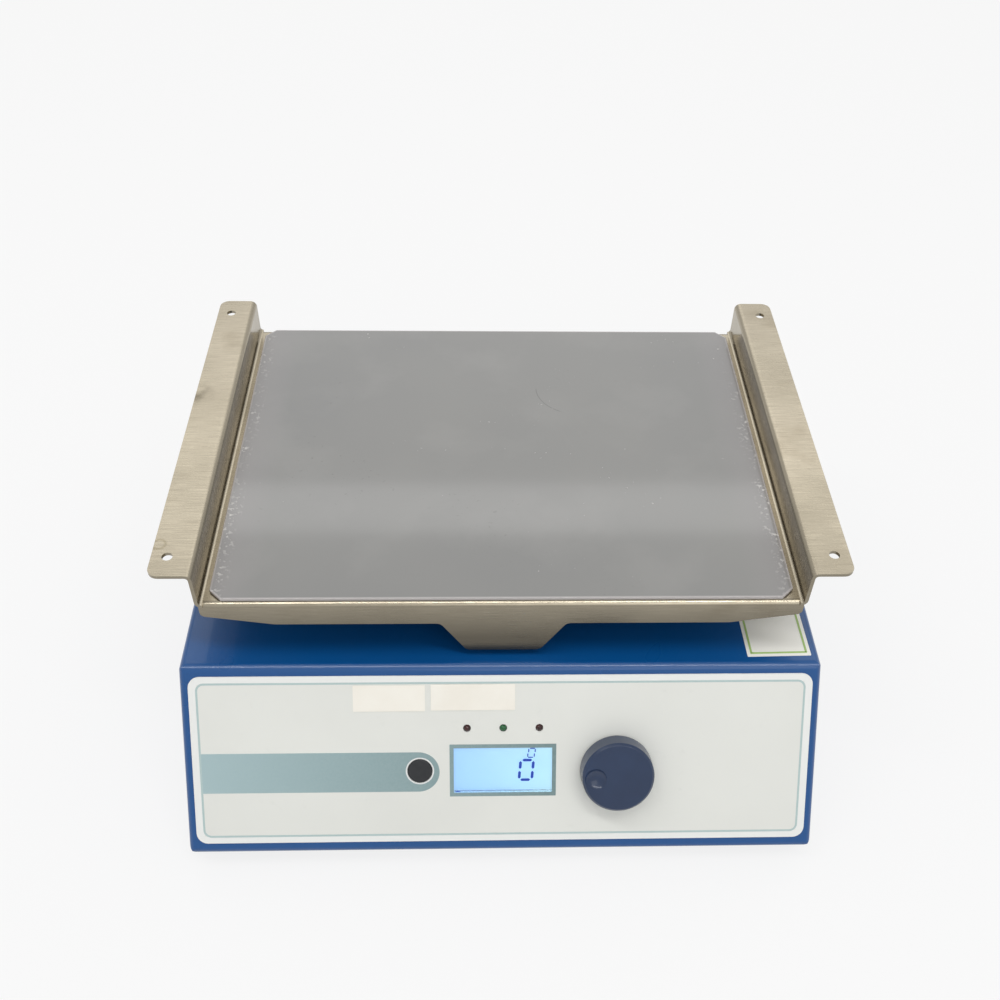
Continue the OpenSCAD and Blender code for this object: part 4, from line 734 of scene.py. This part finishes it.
steel_tone = stainless.mix(handled, steel_tone, (0.285, 0.252, 0.190))
steel_tone = stainless.mix(brushed, steel_tone, (0.245, 0.214, 0.160))
steel_tone = stainless.mix(stained, steel_tone, (0.220, 0.180, 0.120))
flat_place = stainless.node("ShaderNodeVectorMath", operation="MULTIPLY")
stainless.feed(flat_place.inputs[0], stainless.place)
flat_place.inputs[1].default_value = (1, 1, 0)


def steel_distance(x, y):
    """How far a point of the sheet lies from a mark on it, seen from above."""
    span = stainless.node("ShaderNodeVectorMath", operation="DISTANCE")
    stainless.feed(span.inputs[0], flat_place.outputs[0])
    span.inputs[1].default_value = (x, y, 0)
    return span.outputs["Value"]


oil_spread = stainless.level(steel_distance(-0.1455, 0.042), 0.0105, 0.002, 0, 0.75)
oil_cloud = stainless.level(stainless.clouds(160, 4), 0.35, 0.6)
oil_mark = stainless.maths("MULTIPLY", oil_spread, oil_cloud)
steel_tone = stainless.mix(oil_mark, steel_tone, (0.135, 0.115, 0.080))
ring_mark_radius = 0.0027
from_ring = stainless.maths("SUBTRACT", steel_distance(-0.143, -0.059), ring_mark_radius)
ring_mark = stainless.level(stainless.maths("ABSOLUTE", from_ring), 0.0008, 0.0002, 0, 0.45)
steel_tone = stainless.mix(ring_mark, steel_tone, (0.20, 0.165, 0.095))
# Painted shade: the front-facing apron is darkened more the lower it hangs.
front_fold = stainless.level(steel_facing.outputs[1], -0.72, -0.96)
apron_shade_by_height = stainless.level(steel_spot.outputs[2], 0.1170, 0.0965, 0.25, 0.84)
front_apron_painted_shade = stainless.maths("MULTIPLY", front_fold, apron_shade_by_height)
steel_tone = stainless.mix(front_apron_painted_shade, steel_tone, (0.085, 0.076, 0.060))
stainless.colour(steel_tone)
polish = stainless.level(handling, 0.3, 0.7, 0.20, 0.30)
stainless.roughness(stainless.maths("ADD", polish, stainless.level(grain, 0.3, 0.7, -0.03, 0.04)))
stainless.relief(grain, 0.000015)
stainless.relief(long_grain, 0.000008)
smoothed("platform_tray", "platform", stainless.material)

# ---------------------------------------------------------------- mat
# Sheet of clear-grey soft plastic laid on the platform floor, its corners cut off. Its skin is glossy
# but no longer clean: pale crumbs along the side edges, hazy patches, small pits and one curved scratch.

mat_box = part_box("platform_mat")
mat_size = mat_box[1] - mat_box[0]
mat_middle = (mat_box[0] + mat_box[1]) / 2
corner_cut = 0.0053
bpy.ops.object.select_all(action="DESELECT")
bpy.ops.mesh.primitive_plane_add(size=1, enter_editmode=True)
mat = bpy.context.object
mat.name = "mat_sheet"
bpy.ops.transform.resize(value=(mat_size.x, mat_size.y, 1))
bpy.ops.mesh.bevel(offset=corner_cut, segments=1, affect="VERTICES")
bpy.ops.mesh.select_all(action="SELECT")
bpy.ops.mesh.extrude_region_move(TRANSFORM_OT_translate={"value": (0, 0, mat_size.z)})
bpy.ops.mesh.select_all(action="SELECT")
bpy.ops.mesh.normals_make_consistent(inside=False)
bpy.ops.object.mode_set(mode="OBJECT")
mat.location = (mat_middle.x, mat_middle.y, mat_box[0].z)
bpy.ops.object.transform_apply(location=True, rotation=True, scale=True)
soft_edge = mat.modifiers.new("soft_edge", "BEVEL")
soft_edge.width = 0.0004
soft_edge.segments = 3
soft_edge.limit_method = "ANGLE"
bpy.ops.object.modifier_apply(modifier=soft_edge.name)
bpy.ops.object.shade_smooth_by_angle(angle=math.radians(35))
even = mat.modifiers.new("even_shading", "WEIGHTED_NORMAL")
even.keep_sharp = True
bpy.ops.object.modifier_apply(modifier=even.name)

skin = Finish("grey_soft_plastic", Specular_IOR_Level=0.35, Coat_Weight=1.0, Coat_Roughness=0.07)
skin_spot = skin.node("ShaderNodeSeparateXYZ")
skin.feed(skin_spot.inputs[0], skin.place)
side_distance = skin.maths("SUBTRACT", mat_size.x / 2, skin.maths("ABSOLUTE", skin_spot.outputs[0]))
end_place = skin.maths("SUBTRACT", skin_spot.outputs[1], mat_middle.y)
end_distance = skin.maths("SUBTRACT", mat_size.y / 2, skin.maths("ABSOLUTE", end_place))
patches = skin.level(skin.clouds(8, 3), 0.3, 0.7)
skin_tone = skin.mix(patches, (0.170, 0.170, 0.164), (0.204, 0.202, 0.190))
haze = skin.level(skin.clouds(24, 5, shift=(0.3, 0.8, 0)), 0.50, 0.75, 0, 0.4)
skin_tone = skin.mix(haze, skin_tone, (0.250, 0.246, 0.234))
edge_haze = skin.level(side_distance, 0.020, 0.002, 0, 0.45)
skin_tone = skin.mix(edge_haze, skin_tone, (0.260, 0.242, 0.245))
pits = skin.maths(
    "MULTIPLY",
    skin.level(skin.clouds(430, 3, shift=(0.1, 0.5, 0)), 0.66, 0.71),
    skin.level(skin.clouds(13, 2, shift=(0.6, 0.1, 0)), 0.54, 0.64),
)
skin_tone = skin.mix(skin.maths("MULTIPLY", pits, 0.5), skin_tone, (0.12, 0.115, 0.11))
near_side = skin.level(side_distance, 0.0075, 0.0006)
crumb_patch = skin.level(skin.clouds(55, 3, shift=(0.4, 0.6, 0)), 0.40, 0.60)
crumb_grain = skin.level(skin.clouds(520, 4, shift=(0.9, 0.3, 0)), 0.555, 0.615)
crumbs = skin.maths("MULTIPLY", skin.maths("MULTIPLY", crumb_grain, near_side), crumb_patch)
stray = skin.maths(
    "MULTIPLY",
    skin.level(skin.clouds(560, 2, shift=(0.2, 0.7, 0)), 0.735, 0.765),
    skin.level(skin.clouds(20, 2, shift=(0.8, 0.1, 0)), 0.52, 0.62),
)
crumbs = skin.maths("MAXIMUM", crumbs, stray)
skin_tone = skin.mix(skin.maths("MULTIPLY", crumbs, 0.85), skin_tone, (0.74, 0.72, 0.69))
past_corner = skin.maths("SUBTRACT", skin.maths("ADD", side_distance, end_distance), corner_cut)
corner_distance = skin.maths("MULTIPLY", past_corner, math.sqrt(0.5))
rim_distance = skin.maths("MINIMUM", skin.maths("MINIMUM", side_distance, end_distance), corner_distance)
pale_rim = skin.level(rim_distance, 0.0011, 0.0004, 0, 0.6)
skin_tone = skin.mix(pale_rim, skin_tone, (0.56, 0.52, 0.51))
arc_middle = (0.0389, 0.0688, mat_box[1].z)
arc_radius = 0.02
arc_place = skin.node("ShaderNodeVectorMath", operation="SUBTRACT")
skin.feed(arc_place.inputs[0], skin.place)
arc_place.inputs[1].default_value = arc_middle
arc_length = skin.node("ShaderNodeVectorMath", operation="LENGTH")
skin.feed(arc_length.inputs[0], arc_place.outputs[0])
arc_spot = skin.node("ShaderNodeSeparateXYZ")
skin.feed(arc_spot.inputs[0], arc_place.outputs[0])
off_arc = skin.maths("ABSOLUTE", skin.maths("SUBTRACT", arc_length.outputs["Value"], arc_radius))
on_arc = skin.level(off_arc, 0.00035, 0.00015, 0, 0.5)
for axis, start, stop in ((0, -0.0075, -0.0095), (1, 0.0010, -0.0010)):
    on_arc = skin.maths("MULTIPLY", on_arc, skin.level(arc_spot.outputs[axis], start, stop))
skin_tone = skin.mix(on_arc, skin_tone, (0.07, 0.068, 0.066))
skin.colour(skin_tone)
skin_shine = skin.level(patches, 0, 1, 0.42, 0.52)
skin.roughness(skin.maths("ADD", skin_shine, skin.maths("MULTIPLY", crumbs, 0.3)))
skin.relief(skin.clouds(9, 2, stretch=(0.7, 1, 1)), 0.0028)
skin.relief(skin.clouds(60, 3), 0.00006)
skin.relief(crumbs, 0.0003)
settle(mat, "platform", skin.material)
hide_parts("platform_mat")

# ---------------------------------------------------------------- paper strips and top sticker
# Two blank strips of cream label tape stuck on the film and a bare white sticker with a green rule
# on the case top. They are paper under a thin gloss, cut with small round corners.

cream = Finish("label_tape", Specular_IOR_Level=0.45, Coat_Weight=0.2, Coat_Roughness=0.2)
cream_cloud = cream.clouds(60, 4)
cream.colour(cream.mix(cream.level(cream_cloud, 0.3, 0.7), (0.90, 0.86, 0.77), (0.94, 0.91, 0.83)))
cream.roughness(cream.level(cream_cloud, 0.3, 0.7, 0.38, 0.5))
cream.relief(cream.clouds(1800, 3), 0.00001)
strip_height = 0.0119
strip_thickness = 0.00026
for strip_name, left, width, down in (
    ("label_strip_left", -0.0658, 0.0315, 0.0083),
    ("label_strip_right", -0.0318, 0.0370, 0.0080),
):
    strip = print_shape(
        strip_name, left, down, width, strip_height, corner=0.0003,
        lift=film_top + ink_thickness, thick=strip_thickness, steps=3,
    )
    settle(strip, "case", cream.material)

paper = Finish("sticker_paper", Specular_IOR_Level=0.45, Coat_Weight=0.3, Coat_Roughness=0.15)
paper_cloud = paper.clouds(70, 4)
paper.colour(paper.mix(paper.level(paper_cloud, 0.3, 0.7), (0.91, 0.90, 0.83), (0.95, 0.94, 0.88)))
paper.roughness(paper.level(paper_cloud, 0.3, 0.7, 0.3, 0.42))
paper.relief(paper.clouds(1500, 3), 0.00001)
green_rule = Finish("green_rule", Specular_IOR_Level=0.45)
green_cloud = green_rule.clouds(400, 2)
green_rule.two_tone(green_cloud, (0.34, 0.52, 0.15), (0.42, 0.60, 0.22), 0.35, 0.45)
green_rule.relief(green_rule.clouds(1500, 2), 0.00001)
paper_thickness = 0.00012
sticker_plane = Matrix.Translation((0.1224, -0.0617, case_top)) @ Matrix.Rotation(0.02, 4, "Z")
for label_name, half_width, half_length, line, lift, finish in (
    ("top_sticker", 0.0143, 0.0170, 0, 0, paper),
    ("top_sticker_rule", 0.0128, 0.0155, 0.0009, paper_thickness, green_rule),
):
    label = print_shape(
        label_name, -half_width, -half_length, 2 * half_width, 2 * half_length, corner=0.0004,
        line=line, lift=lift, thick=paper_thickness, steps=3, plane=sticker_plane,
    )
    settle(label, "case", finish.material)

# ---------------------------------------------------------------- rear fittings
# Black moulded power rocker and bayonet fuse holder beside the mains inlet, clipped and nutted into
# the rear panel. Their skin is satin, with the fine grain of the mould.

smoothed("fuse_holder", "case", moulded.material)
smoothed("fuse_cap", "fuse", moulded.material)
smoothed("switch_rocker", "switch", moulded.material)
